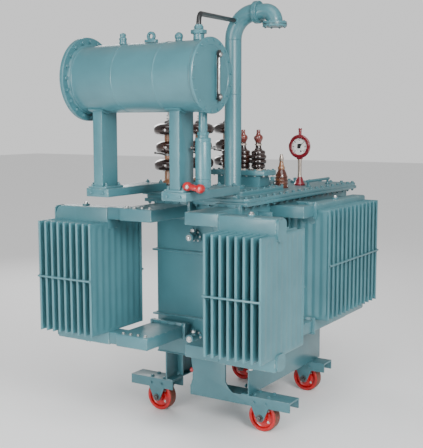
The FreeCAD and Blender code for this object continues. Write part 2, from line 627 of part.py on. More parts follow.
def make_high_bushings():
    """Build the high-voltage bushings in a row along Y, each on a round turret."""
    body = "(hv_shed_first + 2 * hv_shed_pitch + 25)"
    turrets = []
    for index in range(3):
        at = ("hv_line", f"hv_first + {index} * hv_step")
        turrets.append(fuse(rod("hv_turret_round", "hv_turret_high", *at, COVER_TOP),
                            rod("hv_turret_round + hv_flange_over", "hv_flange_thick", *at,
                                COVER_TOP)))
        points = bushing_foot("hv", "12", "18") + sheds("hv", 3, 16, 20) + [
            ("hv_core_round", body), ("hv_core_round * 0.7", f"{body} + 22"),
            ("hv_stud_round", f"{body} + 22"), ("hv_stud_round", f"{body} + 22 + hv_stud_high"),
            ("0", f"{body} + 22 + hv_stud_high")]
        finish(f"hv_bushing_{index + 1}",
               turned(f"hv_{index + 1}", points, *at, f"{COVER_TOP} + hv_turret_high"))
    finish("hv_turrets", group(*turrets))


def make_low_bushings():
    """Build the low-voltage bushings in a row along X, on one shared box turret."""
    body = "(lv_shed_first + 3 * lv_shed_pitch + 20)"
    low_x = "(lv_first - 2 * lv_step - lv_turret_end)"
    long_x = "(2 * lv_step + 2 * lv_turret_end)"
    neck_high = "lv_turret_high - lv_plate_thick"
    finish("lv_turret", fuse(
        box(long_x, "2 * lv_turret_half", neck_high, low_x, "lv_line - lv_turret_half", RAISED_TOP),
        box(f"{long_x} + 2 * lv_plate_over", "2 * lv_turret_half + 2 * lv_plate_lip",
            "lv_plate_thick", f"{low_x} - lv_plate_over",
            "lv_line - lv_turret_half - lv_plate_lip", f"{RAISED_TOP} + {neck_high}")))
    cap = [(17, 8), (17, 44), (28, 62), (28, 82)]
    for index in range(3):
        points = bushing_foot("lv", "5", "9") + sheds("lv", 4, 11, 6)
        points += [("lv_core_round", body)]
        points += [(radius, f"{body} + {level}") for radius, level in cap]
        points += [("lv_stud_round", f"{body} + 82"), ("lv_stud_round", f"{body} + 82 + lv_stud_high"),
                   ("0", f"{body} + 82 + lv_stud_high")]
        finish(f"lv_bushing_{index + 1}",
               turned(f"lv_{index + 1}", points, f"lv_first - {index} * lv_step", "lv_line",
                      f"{RAISED_TOP} + lv_turret_high"))


def make_cover_fittings():
    """Build the neutral bushing, the dial thermometer on its pocket and the low hand rail."""
    points = [(across or "0", along or "0") for across, along in NEUTRAL_PROFILE]
    finish("neutral_bushing", turned("neutral", points, "neutral_x", "neutral_y", COVER_TOP))
    neck = f"dial_at - {COVER_TOP} - dial_round - dial_neck"
    points = [("0", "0"), ("38", "0"), ("38", "10"), ("22", "50"), ("14", "60"), ("14", neck),
              ("0", neck)]
    finish("thermometer_stem", turned("stem", points, "dial_x", "dial_y", COVER_TOP))
    finish("thermometer_dial", fuse(
        rod("dial_round", "dial_thick", "dial_x", "dial_y - dial_thick / 2", "dial_at", ALONG_Y),
        rod("12", "50", "dial_x", "dial_y", "dial_at + dial_round - 8"),
        box("40", "dial_thick - dial_neck", "20", "dial_x - 20",
            "dial_y - dial_thick / 2 + dial_neck / 2", "dial_at - dial_round - dial_neck")))
    legs = [rod("rail_leg_round", "rail_rise", "rail_x", leg_y, COVER_TOP)
            for leg_y in ("rail_y + rail_leg_in", "rail_y + rail_long - rail_leg_in")]
    finish("cover_rail", fuse(rod("rail_round", "rail_long", "rail_x", "rail_y",
                                  f"{COVER_TOP} + rail_rise", ALONG_Y), *legs))


make_tank()
make_lugs()
make_front_radiator("radiator_front_left", -1, "left_fins")
make_front_radiator("radiator_front_right", 1, "right_fins")
make_side_radiator("radiator_side_left", -1)
make_side_radiator("radiator_side_right", 1)
make_ducts()
make_base()
make_conservator()
make_stand()
make_breather()
make_front_valves()
make_plate()
make_vent()
make_high_bushings()
make_low_bushings()
make_cover_fittings()

if doc.getObject("probe"):
    doc.removeObject("probe")
doc.recompute()
faults = [f"{thing.Label}: {thing.State}" for thing in doc.Objects
          if {"Invalid", "Error"} & set(thing.State)]
for node, thing in finished.items():
    if thing.Shape.isNull() or not thing.Shape.isValid():
        faults.append(f"{node}: bad shape")
if faults:
    raise SystemExit("\n".join(faults))
os.makedirs("parts", exist_ok=True)
for node, thing in finished.items():
    thing.Shape.exportStep(f"parts/{node}.step")
box_of_all = Part.makeCompound([thing.Shape for thing in finished.values()]).BoundBox
print(len(finished), "sub-parts", box_of_all)
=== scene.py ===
"""Looks of an oil-filled power transformer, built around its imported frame.

Every length is in metres.  +Z is up, +X runs along the conservator and +Y runs from the
conservator end to the thermometer end.
"""
import logging
import math
from collections.abc import Callable, Iterable, Sequence
from dataclasses import dataclass, field
from enum import Enum
from typing import Any

import bmesh
import bpy
from mathutils import Matrix, Vector


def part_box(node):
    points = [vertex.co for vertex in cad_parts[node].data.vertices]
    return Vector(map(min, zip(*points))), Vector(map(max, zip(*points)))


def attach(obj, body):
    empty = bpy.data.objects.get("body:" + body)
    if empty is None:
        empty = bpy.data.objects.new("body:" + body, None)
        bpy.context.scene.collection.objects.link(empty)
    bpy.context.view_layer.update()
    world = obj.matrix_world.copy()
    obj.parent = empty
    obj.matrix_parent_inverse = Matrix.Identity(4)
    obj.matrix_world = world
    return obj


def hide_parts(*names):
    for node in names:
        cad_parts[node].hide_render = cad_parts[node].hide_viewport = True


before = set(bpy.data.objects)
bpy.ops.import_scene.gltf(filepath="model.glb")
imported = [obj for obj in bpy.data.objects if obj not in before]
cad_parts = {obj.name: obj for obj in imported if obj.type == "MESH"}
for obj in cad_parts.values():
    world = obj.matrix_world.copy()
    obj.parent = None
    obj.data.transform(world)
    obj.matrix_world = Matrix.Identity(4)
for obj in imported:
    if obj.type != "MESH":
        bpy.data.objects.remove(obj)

log = logging.getLogger("transformer")



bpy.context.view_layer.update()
HOUSING = "transformer"
TO_SIDE = Matrix(((0, 0, 1, 0), (1, 0, 0, 0), (0, 1, 0, 0), (0, 0, 0, 1)))
TO_BACK = Matrix(((1, 0, 0, 0), (0, 0, -1, 0), (0, 1, 0, 0), (0, 0, 0, 1)))
X, Y, Z = Vector((1, 0, 0)), Vector((0, 1, 0)), Vector((0, 0, 1))
Profile = Sequence[tuple[float, float]]
Colour = tuple[float, float, float, float]


# ------------------------------------------------------------------------------ shader tools
class Wire:
    """One shader socket that can be used in arithmetic; each operation adds a Math node."""

    def __init__(self, graph: "Graph", socket: bpy.types.NodeSocket) -> None:
        """Keep the socket and the graph it belongs to."""
        self.graph = graph
        self.socket = socket

    def _math(self, operation: str, first: Any, second: Any) -> "Wire":
        """Add a Math node.

        Args:
            operation: the node's operation.
            first: the left value or wire.
            second: the right value or wire.

        Returns:
            The wire of the node's result.
        """
        return self.graph.node("ShaderNodeMath", {"operation": operation}, {0: first, 1: second})

    def __add__(self, other: Any) -> "Wire":
        """Add."""
        return self._math("ADD", self, other)

    __radd__ = __add__

    def __sub__(self, other: Any) -> "Wire":
        """Subtract."""
        return self._math("SUBTRACT", self, other)

    def __rsub__(self, other: Any) -> "Wire":
        """Subtract from a number."""
        return self._math("SUBTRACT", other, self)

    def __mul__(self, other: Any) -> "Wire":
        """Multiply."""
        return self._math("MULTIPLY", self, other)

    __rmul__ = __mul__

    def between(self, low: float, high: float) -> "Wire":
        """Rise smoothly from 0 at low to 1 at high.

        Args:
            low: the value that gives 0.
            high: the value that gives 1.

        Returns:
            The wire of the smooth step.
        """
        return self.graph.node("ShaderNodeMapRange", {"interpolation_type": "SMOOTHSTEP"},
                               {"Value": self, "From Min": low, "From Max": high})


class Graph:
    """The node tree of one finish, with short ways to add what it is made of."""

    def __init__(self, name: str) -> None:
        """Start a material of that name with an empty tree."""
        self.material = bpy.data.materials.new(name)
        self.material.use_nodes = True
        self.tree = self.material.node_tree
        self.tree.nodes.clear()
        self.place = self.node("ShaderNodeTexCoord", {}, {}, "Object")

    def node(self, kind: str, settings: dict[str, Any], inputs: dict[Any, Any],
             output: str | int = 0) -> Wire:
        """Add any node.

        Args:
            kind: the node's type.
            settings: properties set before the inputs; "stops" fills a colour ramp.
            inputs: values or wires by socket name or number.
            output: which output to return.

        Returns:
            The wire of that output.
        """
        made = self.tree.nodes.new(kind)
        for name, value in settings.items():
            if name == "stops":
                ramp = made.color_ramp.elements
                while len(ramp) < len(value):
                    ramp.new(0.5)
                for stop, (at, colour) in zip(ramp, value):
                    stop.position, stop.color = at, colour
            else:
                setattr(made, name, value)
        for name, value in inputs.items():
            if isinstance(value, Wire):
                self.tree.links.new(value.socket, made.inputs[name])
            else:
                made.inputs[name].default_value = value
        return Wire(self, made.outputs[output])

    def noise(self, scale: float, detail: float = 4.0, rough: float = 0.55,
              stretch: tuple[float, float, float] = (1.0, 1.0, 1.0)) -> Wire:
        """Add noise on object coordinates.

        Args:
            scale: spots per metre.
            detail: how many finer layers it has.
            rough: how strong the finer layers are.
            stretch: scale of each axis, to draw the noise out into streaks.

        Returns:
            The wire of the noise, from 0 to 1.
        """
        where = self.node("ShaderNodeMapping", {}, {"Vector": self.place, "Scale": stretch})
        return self.node("ShaderNodeTexNoise", {},
                         {"Vector": where, "Scale": scale, "Detail": detail, "Roughness": rough})

    def height(self) -> Wire:
        """Give the object's own height coordinate."""
        return self.node("ShaderNodeSeparateXYZ", {}, {0: self.place}, "Z")

    def facing_up(self) -> Wire:
        """Give 1 where the surface faces up, falling to 0 on walls."""
        normal = self.node("ShaderNodeNewGeometry", {}, {}, "Normal")
        return self.node("ShaderNodeSeparateXYZ", {}, {0: normal}, "Z").between(0.55, 0.98)

    def worn_edge(self) -> Wire:
        """Give the mesh's own mask of rounded edges, where paint thins first; on the rollers it
        marks the tread and rounded rims, painted brown as wear and as painted shade.
        """
        return self.node("ShaderNodeAttribute", {"attribute_name": "wear"}, {}, "Fac")

    def mix(self, mask: Wire, low: Any, high: Any) -> Wire:
        """Blend two colours.

        Args:
            mask: 0 gives the first colour and 1 the second.
            low: the first colour or wire.
            high: the second colour or wire.

        Returns:
            The wire of the blended colour.
        """
        return self.node("ShaderNodeMix", {"data_type": "RGBA"}, {0: mask, 6: low, 7: high}, 2)

    def bump(self, height: Wire, strength: float, distance: float) -> Wire:
        """Turn a height wire into a normal.

        Args:
            height: the height, from 0 to 1.
            strength: how much of it is used.
            distance: how deep it is.

        Returns:
            The wire of the bent normal.
        """
        return self.node("ShaderNodeBump", {}, {"Height": height, "Strength": strength,
                                                "Distance": distance})

    def close(self, sockets: dict[str, Any]) -> bpy.types.Material:
        """Finish with a Principled surface.

        Args:
            sockets: its values and wires by name.

        Returns:
            The finished material.
        """
        surface = self.node("ShaderNodeBsdfPrincipled", {}, sockets)
        end = self.tree.nodes.new("ShaderNodeOutputMaterial")
        self.tree.links.new(surface.socket, end.inputs["Surface"])
        return self.material


# ------------------------------------------------------------------------------ finishes
@dataclass(frozen=True)
class Enamel:
    """Gloss enamel on steel: slight mottling, run marks, dust on top and thin, worn edges."""

    colour: Colour
    shade: Colour
    rough: float = 0.36
    dust: float = 0.35
    grime_top: float = 0.0
    grime: float = 0.5
    chips: float = 0.8
    dust_colour: Colour = (0.17, 0.22, 0.22, 1)
    grime_colour: Colour = (0.035, 0.040, 0.038, 1)
    metal_colour: Colour = (0.20, 0.29, 0.30, 1)

    def make(self, name: str) -> bpy.types.Material:
        """Build the finish.

        Args:
            name: the material's name.

        Returns:
            The material.
        """
        g = Graph(name)
        mottle = g.noise(3.2, 5.0)
        streak = g.noise(14.0, 5.0, 0.6, (1.0, 1.0, 0.07))
        fine = g.noise(120.0, 3.0)
        base = g.mix(mottle.between(0.3, 0.72), self.colour, self.shade)
        base = g.mix(streak.between(0.56, 0.8) * 0.35, base, self.shade)
        dust = g.facing_up() * g.noise(9.0, 6.0, 0.7).between(0.35, 0.7) * self.dust
        base = g.mix(dust, base, self.dust_colour)
        low = (1 - g.height().between(self.grime_top * 0.35, self.grime_top + 0.02))
        soil = low * g.noise(22.0, 6.0, 0.7).between(0.38, 0.68) * self.grime
        base = g.mix(soil, base, self.grime_colour)
        worn = g.worn_edge() * g.noise(38.0, 5.0, 0.7).between(0.5, 0.66) * self.chips
        base = g.mix(worn, base, self.metal_colour)
        rough = self.rough + (mottle - 0.5) * 0.12 + dust * 0.5 + soil * 0.35 + worn * 0.2
        return g.close({"Base Color": base, "Roughness": rough, "IOR": 1.5,
                        "Coat Weight": 0.22 - dust * 0.2, "Coat Roughness": 0.18,
                        "Normal": g.bump(fine + streak * 0.5, 0.09, 0.002)})


@dataclass(frozen=True)
class Porcelain:
    """Glazed porcelain: deep gloss, clouded glaze that thins to a lighter tone in places."""

    deep: Colour
    light: Colour
    cloud: float = 12.0
    rough: float = 0.13

    def make(self, name: str) -> bpy.types.Material:
        """Build the finish.

        Args:
            name: the material's name.

        Returns:
            The material.
        """
        g = Graph(name)
        cloud = g.noise(self.cloud, 5.0, 0.6)
        speck = g.noise(260.0, 2.0).between(0.62, 0.72)
        base = g.mix(cloud.between(0.42, 0.75), self.deep, self.light)
        base = g.mix(speck * 0.35, base, (0.01, 0.006, 0.005, 1))
        dust = g.facing_up() * g.noise(30.0, 4.0).between(0.4, 0.75)
        base = g.mix(dust * 0.08, base, (0.30, 0.26, 0.22, 1))
        return g.close({"Base Color": base, "Roughness": self.rough + cloud * 0.06 + dust * 0.25,
                        "IOR": 1.55, "Coat Weight": 0.9 - dust * 0.4, "Coat Roughness": 0.06,
                        "Normal": g.bump(g.noise(45.0, 2.0), 0.08, 0.002)})


@dataclass(frozen=True)
class Metal:
    """Bare or plated metal with fine scratches and darker patches."""

    colour: Colour
    dark: Colour
    rough: float = 0.32
    metallic: float = 1.0

    def make(self, name: str) -> bpy.types.Material:
        """Build the finish.

        Args:
            name: the material's name.

        Returns:
            The material.
        """
        g = Graph(name)
        patch = g.noise(60.0, 5.0, 0.65)
        scratch = g.noise(400.0, 3.0, 0.6, (1.0, 1.0, 0.15))
        base = g.mix(patch.between(0.45, 0.75), self.colour, self.dark)
        rough = self.rough + (patch - 0.5) * 0.3 + (scratch - 0.5) * 0.15
        return g.close({"Base Color": base, "Roughness": rough,
                        "Metallic": self.metallic - patch.between(0.6, 0.8) * 0.4,
                        "Normal": g.bump(scratch, 0.12, 0.001)})


@dataclass(frozen=True)
class RollerRed:
    """Red cast roller: glossy cheeks, a tread worn down to brown iron with packed dirt, and the
    same brown as painted shade on the rounded rim edges.
    """

    red: Colour = (0.47, 0.004, 0.006, 1)
    dark: Colour = (0.24, 0.003, 0.004, 1)
    # brown of the worn tread, also used as painted shade on the rounded rim edges
    tread: Colour = (0.13, 0.060, 0.035, 1)

    def make(self, name: str) -> bpy.types.Material:
        """Build the finish; the mesh's wear mask marks the tread and the rounded rim edges, which
        take the brown of wear and of painted shade.

        Args:
            name: the material's name.

        Returns:
            The material.
        """
        g = Graph(name)
        cloud = g.noise(26.0, 5.0, 0.6)
        scuff = g.noise(90.0, 6.0, 0.7)
        base = g.mix(cloud.between(0.38, 0.75), self.red, self.dark)
        # brown on the tread and rounded rim edges: wear, and painted shade on the rims
        worn = g.worn_edge() * scuff.between(0.3, 0.52)
        base = g.mix(worn * 0.9, base, self.tread)
        return g.close({"Base Color": base, "Roughness": 0.27 + cloud * 0.1 + worn * 0.4,
                        "Coat Weight": 0.45 - worn * 0.4, "Coat Roughness": 0.1,
                        "Normal": g.bump(scuff, 0.16, 0.0015)})


@dataclass(frozen=True)
class Plain:
    """A small non-metal part, such as a dial face, a gasket or a plastic cap."""

    colour: Colour
    other: Colour
    rough: float = 0.4
    scale: float = 40.0

    def make(self, name: str) -> bpy.types.Material:
        """Build the finish.

        Args:
            name: the material's name.

        Returns:
            The material.
        """
        g = Graph(name)
        cloud = g.noise(self.scale, 5.0, 0.6)
        base = g.mix(cloud.between(0.4, 0.8), self.colour, self.other)
        return g.close({"Base Color": base, "Roughness": self.rough + (cloud - 0.5) * 0.2,
                        "Normal": g.bump(g.noise(300.0, 2.0), 0.06, 0.001)})


TEAL: Colour = (0.060, 0.178, 0.208, 1)
TEAL_SHADE: Colour = (0.046, 0.142, 0.168, 1)


class Finish(Enum):
    """Every finish on the transformer; the value is its recipe."""

    TANK = Enamel(TEAL, TEAL_SHADE)
    RADIATOR = Enamel((0.066, 0.190, 0.220, 1), (0.052, 0.155, 0.182, 1), rough=0.40, dust=0.2)
    BASE = Enamel(TEAL, TEAL_SHADE, rough=0.36, grime_top=0.20, grime=0.45, chips=0.9)
    BROWN_GLAZE = Porcelain((0.018, 0.008, 0.007, 1), (0.060, 0.022, 0.014, 1))
    RED_CAP = Porcelain((0.14, 0.022, 0.015, 1), (0.24, 0.055, 0.035, 1), rough=0.25)
    AMBER_GLAZE = Porcelain((0.075, 0.018, 0.012, 1), (0.20, 0.075, 0.030, 1), cloud=22.0)
    TAN_NECK = Porcelain((0.30, 0.145, 0.070, 1), (0.20, 0.080, 0.040, 1), cloud=30.0, rough=0.3)
    VALVE_RED = Porcelain((0.40, 0.001, 0.003, 1), (0.28, 0.001, 0.003, 1), rough=0.3)
    ROLLER_RED = RollerRed()
    DIAL_RED = Porcelain((0.17, 0.004, 0.012, 1), (0.27, 0.010, 0.022, 1), rough=0.2)
    STEEL = Metal((0.62, 0.63, 0.62, 1), (0.34, 0.34, 0.33, 1))
    DARK_STEEL = Metal((0.16, 0.16, 0.16, 1), (0.07, 0.06, 0.055, 1), rough=0.42)
    TAN_METAL = Metal((0.52, 0.44, 0.38, 1), (0.34, 0.27, 0.22, 1), rough=0.38, metallic=0.75)
    WHITE = Plain((0.80, 0.80, 0.78, 1), (0.72, 0.72, 0.69, 1), rough=0.3)
    BLACK = Plain((0.012, 0.013, 0.014, 1), (0.030, 0.032, 0.033, 1), rough=0.35)
    GASKET = Plain((0.020, 0.020, 0.019, 1), (0.050, 0.046, 0.042, 1), rough=0.75)

    def material(self) -> bpy.types.Material:
        """Give the finish's material, made on first use."""
        name = "finish_" + self.name.lower()
        return bpy.data.materials.get(name) or self.value.make(name)


# ------------------------------------------------------------------------------ mesh tools
def frame_along(at: Vector, axis: Vector) -> Matrix:
    """Give the placing that turns local Z to an axis.

    Args:
        at: where the local origin goes.
        axis: where local Z points.

    Returns:
        The matrix.
    """
    return Matrix.Translation(at) @ axis.to_track_quat("Z", "Y").to_matrix().to_4x4()


def soften(form: bmesh.types.BMesh, width: float, segments: int = 2,
           choose: Callable[[bmesh.types.BMEdge], bool] | None = None) -> None:
    """Round a form's sharp edges and mark the new faces as wear.

    Args:
        form: the mesh to change.
        width: how far the rounding reaches from the edge.
        segments: how many faces go across it.
        choose: picks the edges; by default all that turn by more than 40 degrees.
    """
    wear = form.faces.layers.float.get("wear") or form.faces.layers.float.new("wear")
    if width <= 0:
        return
    sharp = [edge for edge in form.edges if len(edge.link_faces) == 2
             and edge.calc_face_angle(0.0) > math.radians(40)
             and (choose is None or choose(edge))]
    done = bmesh.ops.bevel(form, geom=sharp, offset=width, segments=segments, profile=0.5,
                           affect="EDGES", clamp_overlap=True, material=-1)
    for face in done["faces"]:
        face[wear] = 1.0


class Shape:
    """One visible piece in the making: closed forms joined into one mesh."""

    def __init__(self, name: str) -> None:
        """Start an empty piece of that name."""
        self.name = name
        self.bm = bmesh.new()
        self.bm.faces.layers.float.new("wear")
        self.finishes: list[Finish] = []

    def take(self, form: bmesh.types.BMesh, finish: Finish) -> "Shape":
        """Add a finished form.

        Args:
            form: the form, which is used up.
            finish: its finish.

        Returns:
            The piece itself.
        """
        if finish not in self.finishes:
            self.finishes.append(finish)
        for face in form.faces:
            face.material_index = self.finishes.index(finish)
            face.smooth = True
        mesh = bpy.data.meshes.new("form")
        form.to_mesh(mesh)
        form.free()
        self.bm.from_mesh(mesh)
        bpy.data.meshes.remove(mesh)
        return self

    def block(self, low: Sequence[float], high: Sequence[float], finish: Finish,
              width: float = 0.002, segments: int = 2,
              choose: Callable[[bmesh.types.BMEdge], bool] | None = None) -> "Shape":
        """Add a block with rounded edges.

        Args:
            low: its lowest corner.
            high: its highest corner.
            finish: its finish.
            width: the rounding of its edges.
            segments: faces across the rounding.
            choose: picks the edges that are rounded.

        Returns:
            The piece itself.
        """
        low, high = Vector(low), Vector(high)
        form = bmesh.new()
        sizes = Matrix.Diagonal((*(high - low), 1.0))
        bmesh.ops.create_cube(form, size=1.0,
                              matrix=Matrix.Translation((low + high) / 2) @ sizes)
        soften(form, width, segments, choose)
        return self.take(form, finish)

    def rod(self, start: Sequence[float], end: Sequence[float], radius: float, finish: Finish,
            sides: int = 28, width: float = 0.0012, tip: float | None = None) -> "Shape":
        """Add a round bar or a cone.

        Args:
            start: the middle of its first end.
            end: the middle of its second end.
            radius: its radius at the start.
            finish: its finish.
            sides: how many faces go round it.
            width: the rounding of its ends.
            tip: its radius at the end, where that differs.

        Returns:
            The piece itself.
        """
        start, end = Vector(start), Vector(end)
        form = bmesh.new()
        bmesh.ops.create_cone(form, cap_ends=True, segments=sides, radius1=radius,
                              radius2=radius if tip is None else tip,
                              depth=(end - start).length,
                              matrix=frame_along((start + end) / 2, (end - start).normalized()))
        soften(form, width, 2, lambda edge: any(len(f.verts) > 4 for f in edge.link_faces))
        return self.take(form, finish)

    def lathe(self, at: Sequence[float], axis: Vector, profile: Profile, finish: Finish,
              sides: int = 48, tread: Callable[[float], bool] | None = None) -> "Shape":
        """Add a turned form.

        Args:
            at: the origin of its axis.
            axis: the direction of its axis.
            profile: (radius, height) points from one pole or end to the other.
            finish: its finish.
            sides: how many faces go round it.
            tread: marks faces as worn by the radius of their middle; on the rollers this brown mask
                is also painted shade on the rounded rim edges.

        Returns:
            The piece itself.
        """
        form = bmesh.new()
        points = [form.verts.new((radius, 0, height)) for radius, height in profile]
        runs = [form.edges.new(pair) for pair in zip(points, points[1:])]
        bmesh.ops.spin(form, geom=points + runs, cent=(0, 0, 0), axis=(0, 0, 1),
                       angle=math.tau, steps=sides, use_merge=True)
        bmesh.ops.remove_doubles(form, verts=form.verts, dist=1e-6)
        bmesh.ops.recalc_face_normals(form, faces=form.faces)
        wear = form.faces.layers.float.new("wear")
        for face in form.faces if tread else ():
            face[wear] = float(tread(face.calc_center_median().xy.length))
        bmesh.ops.transform(form, matrix=frame_along(Vector(at), axis), verts=form.verts)
        return self.take(form, finish)

    def like_node(self, node: str, finish: Finish, width: float = 0.0025,
                  segments: int = 2) -> "Shape":
        """Add a frame part's own shape with its edges rounded.

        Args:
            node: the frame part.
            finish: its finish.
            width: the rounding of its edges.
            segments: faces across the rounding.

        Returns:
            The piece itself.
        """
        form = bmesh.new()
        form.from_mesh(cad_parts[node].data)
        bmesh.ops.remove_doubles(form, verts=form.verts, dist=2e-5)
        bmesh.ops.dissolve_limit(form, angle_limit=math.radians(0.6), verts=form.verts,
                                 edges=form.edges, use_dissolve_boundaries=False)
        soften(form, width, segments)
        return self.take(form, finish)

    def stamp(self, mesh: bpy.types.Mesh, placing: Matrix, finish: Finish) -> "Shape":
        """Add a copy of a ready mesh.

        Args:
            mesh: what is copied.
            placing: where the copy goes.
            finish: its finish.

        Returns:
            The piece itself.
        """
        form = bmesh.new()
        form.from_mesh(mesh)
        bmesh.ops.transform(form, matrix=placing, verts=form.verts)
        return self.take(form, finish)

    def bolt(self, at: Sequence[float], axis: Vector, size: float = 0.009,
             finish: Finish = Finish.TANK, stud: float = 0.0) -> "Shape":
        """Add a hexagon head on a washer.

        Args:
            at: the point of the surface it sits on.
            axis: the direction it stands out in.
            size: the radius of its head.
            finish: its finish.
            stud: how far a threaded end stands out of it.

        Returns:
            The piece itself.
        """
        at = Vector(at)
        self.rod(at, at + axis * size * 0.25, size * 1.45, finish, 16, 0.0)
        self.rod(at + axis * size * 0.2, at + axis * size * 1.1, size, finish, 6, size * 0.12)
        if stud > 0:
            self.rod(at + axis * size, at + axis * (size + stud), size * 0.5, finish, 10, 0.0)
        return self

    def bolt_ring(self, at: Sequence[float], axis: Vector, radius: float, count: int,
                  size: float = 0.007, finish: Finish = Finish.TANK,
                  start: float = 0.0) -> "Shape":
        """Add bolts in a circle.

        Args:
            at: the circle's middle.
            axis: the direction the bolts stand out in.
            radius: the circle's radius.
            count: how many bolts it has.
            size: the radius of a head.
            finish: their finish.
            start: the angle of the first one.

        Returns:
            The piece itself.
        """
        placing = frame_along(Vector(at), axis)
        for index in range(count):
            turn = start + math.tau * index / count
            spot = Vector((math.cos(turn) * radius, math.sin(turn) * radius, 0))
            self.bolt(placing @ spot, axis, size, finish)
        return self

    def bead(self, points: Sequence[Sequence[float]], radius: float = 0.004,
             finish: Finish = Finish.TANK) -> "Shape":
        """Add a weld bead along straight runs.

        Args:
            points: the corners it runs through.
            radius: half its width.
            finish: its finish.

        Returns:
            The piece itself.
        """
        for start, end in zip(points, points[1:]):
            self.rod(start, end, radius, finish, 8, 0.0)
        return self

    def piece(self, slot: str, body: str = HOUSING, stands_for: Iterable[str] = ()
              ) -> bpy.types.Object:
        """Turn the mesh into an object that rides on a body.

        Args:
            slot: the record's material slot; not used.
            body: the body it rides on.
            stands_for: the frame parts it is shown in place of.

        Returns:
            The object.
        """
        mesh = bpy.data.meshes.new(self.name)
        self.bm.to_mesh(mesh)
        self.bm.free()
        for finish in self.finishes:
            mesh.materials.append(finish.material())
        mesh.set_sharp_from_angle(angle=math.radians(28))
        thing = bpy.data.objects.new(self.name, mesh)
        bpy.context.scene.collection.objects.link(thing)
        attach(thing, body)
        if stands_for:
            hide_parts(*stands_for)
        log.info("%s: %d faces", self.name, len(mesh.polygons))
        return thing


def plain_piece(name: str, node: str, width: float, slot: str = "tank_paint",
                finish: Finish = Finish.TANK) -> None:
    """Build a piece that is a frame part's own shape with rounded edges.

    Args:
        name: the piece's name.
        node: the frame part it stands for.
        width: the rounding of its edges.
        slot: the record's material slot, passed on to the piece, which does not use it.
        finish: its finish.
    """
    Shape(name).like_node(node, finish, width).piece(slot, stands_for=[node])


def along(start: float, end: float, pitch: float) -> list[float]:
    """Space positions evenly between two ends, both included.

    Args:
        start: the first position.
        end: the last position.
        pitch: about how far apart they are.

    Returns:
        The positions.
    """
    count = max(1, round(abs(end - start) / pitch))
    return [start + (end - start) * index / count for index in range(count + 1)]


def frame_spots(low: Vector, high: Vector, inset: float, pitch: float) -> list[Vector]:
    """Give positions along the edges of a rectangle seen from above.

    Args:
        low: the rectangle's lowest corner.
        high: its highest corner, whose height the positions take.
        inset: how far inside the edges they lie.
        pitch: about how far apart they are.

    Returns:
        The positions.
    """
    xs = along(low.x + inset, high.x - inset, pitch)
    ys = along(low.y + inset, high.y - inset, pitch)
    spots = [Vector((x, y, high.z)) for x in xs for y in (ys[0], ys[-1])]
    return spots + [Vector((x, y, high.z)) for y in ys[1:-1] for x in (xs[0], xs[-1])]


def footing(node: str) -> tuple[Vector, float]:
    """Give the middle of a frame part's underside, and the part's height."""
    low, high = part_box(node)
    return Vector(((low.x + high.x) / 2, (low.y + high.y) / 2, low.z)), high.z - low.z


def clear_of(spot: Vector, nodes: Iterable[str], room: float) -> bool:
    """Tell whether a spot seen from above keeps clear of frame parts.

    Args:
        spot: the spot.
        nodes: the frame parts.
        room: the least distance to their boxes.

    Returns:
        True where it is clear of them all.
    """
    for node in nodes:
        low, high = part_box(node)
        if low.x - room < spot.x < high.x + room and low.y - room < spot.y < high.y + room:
            return False
    return True


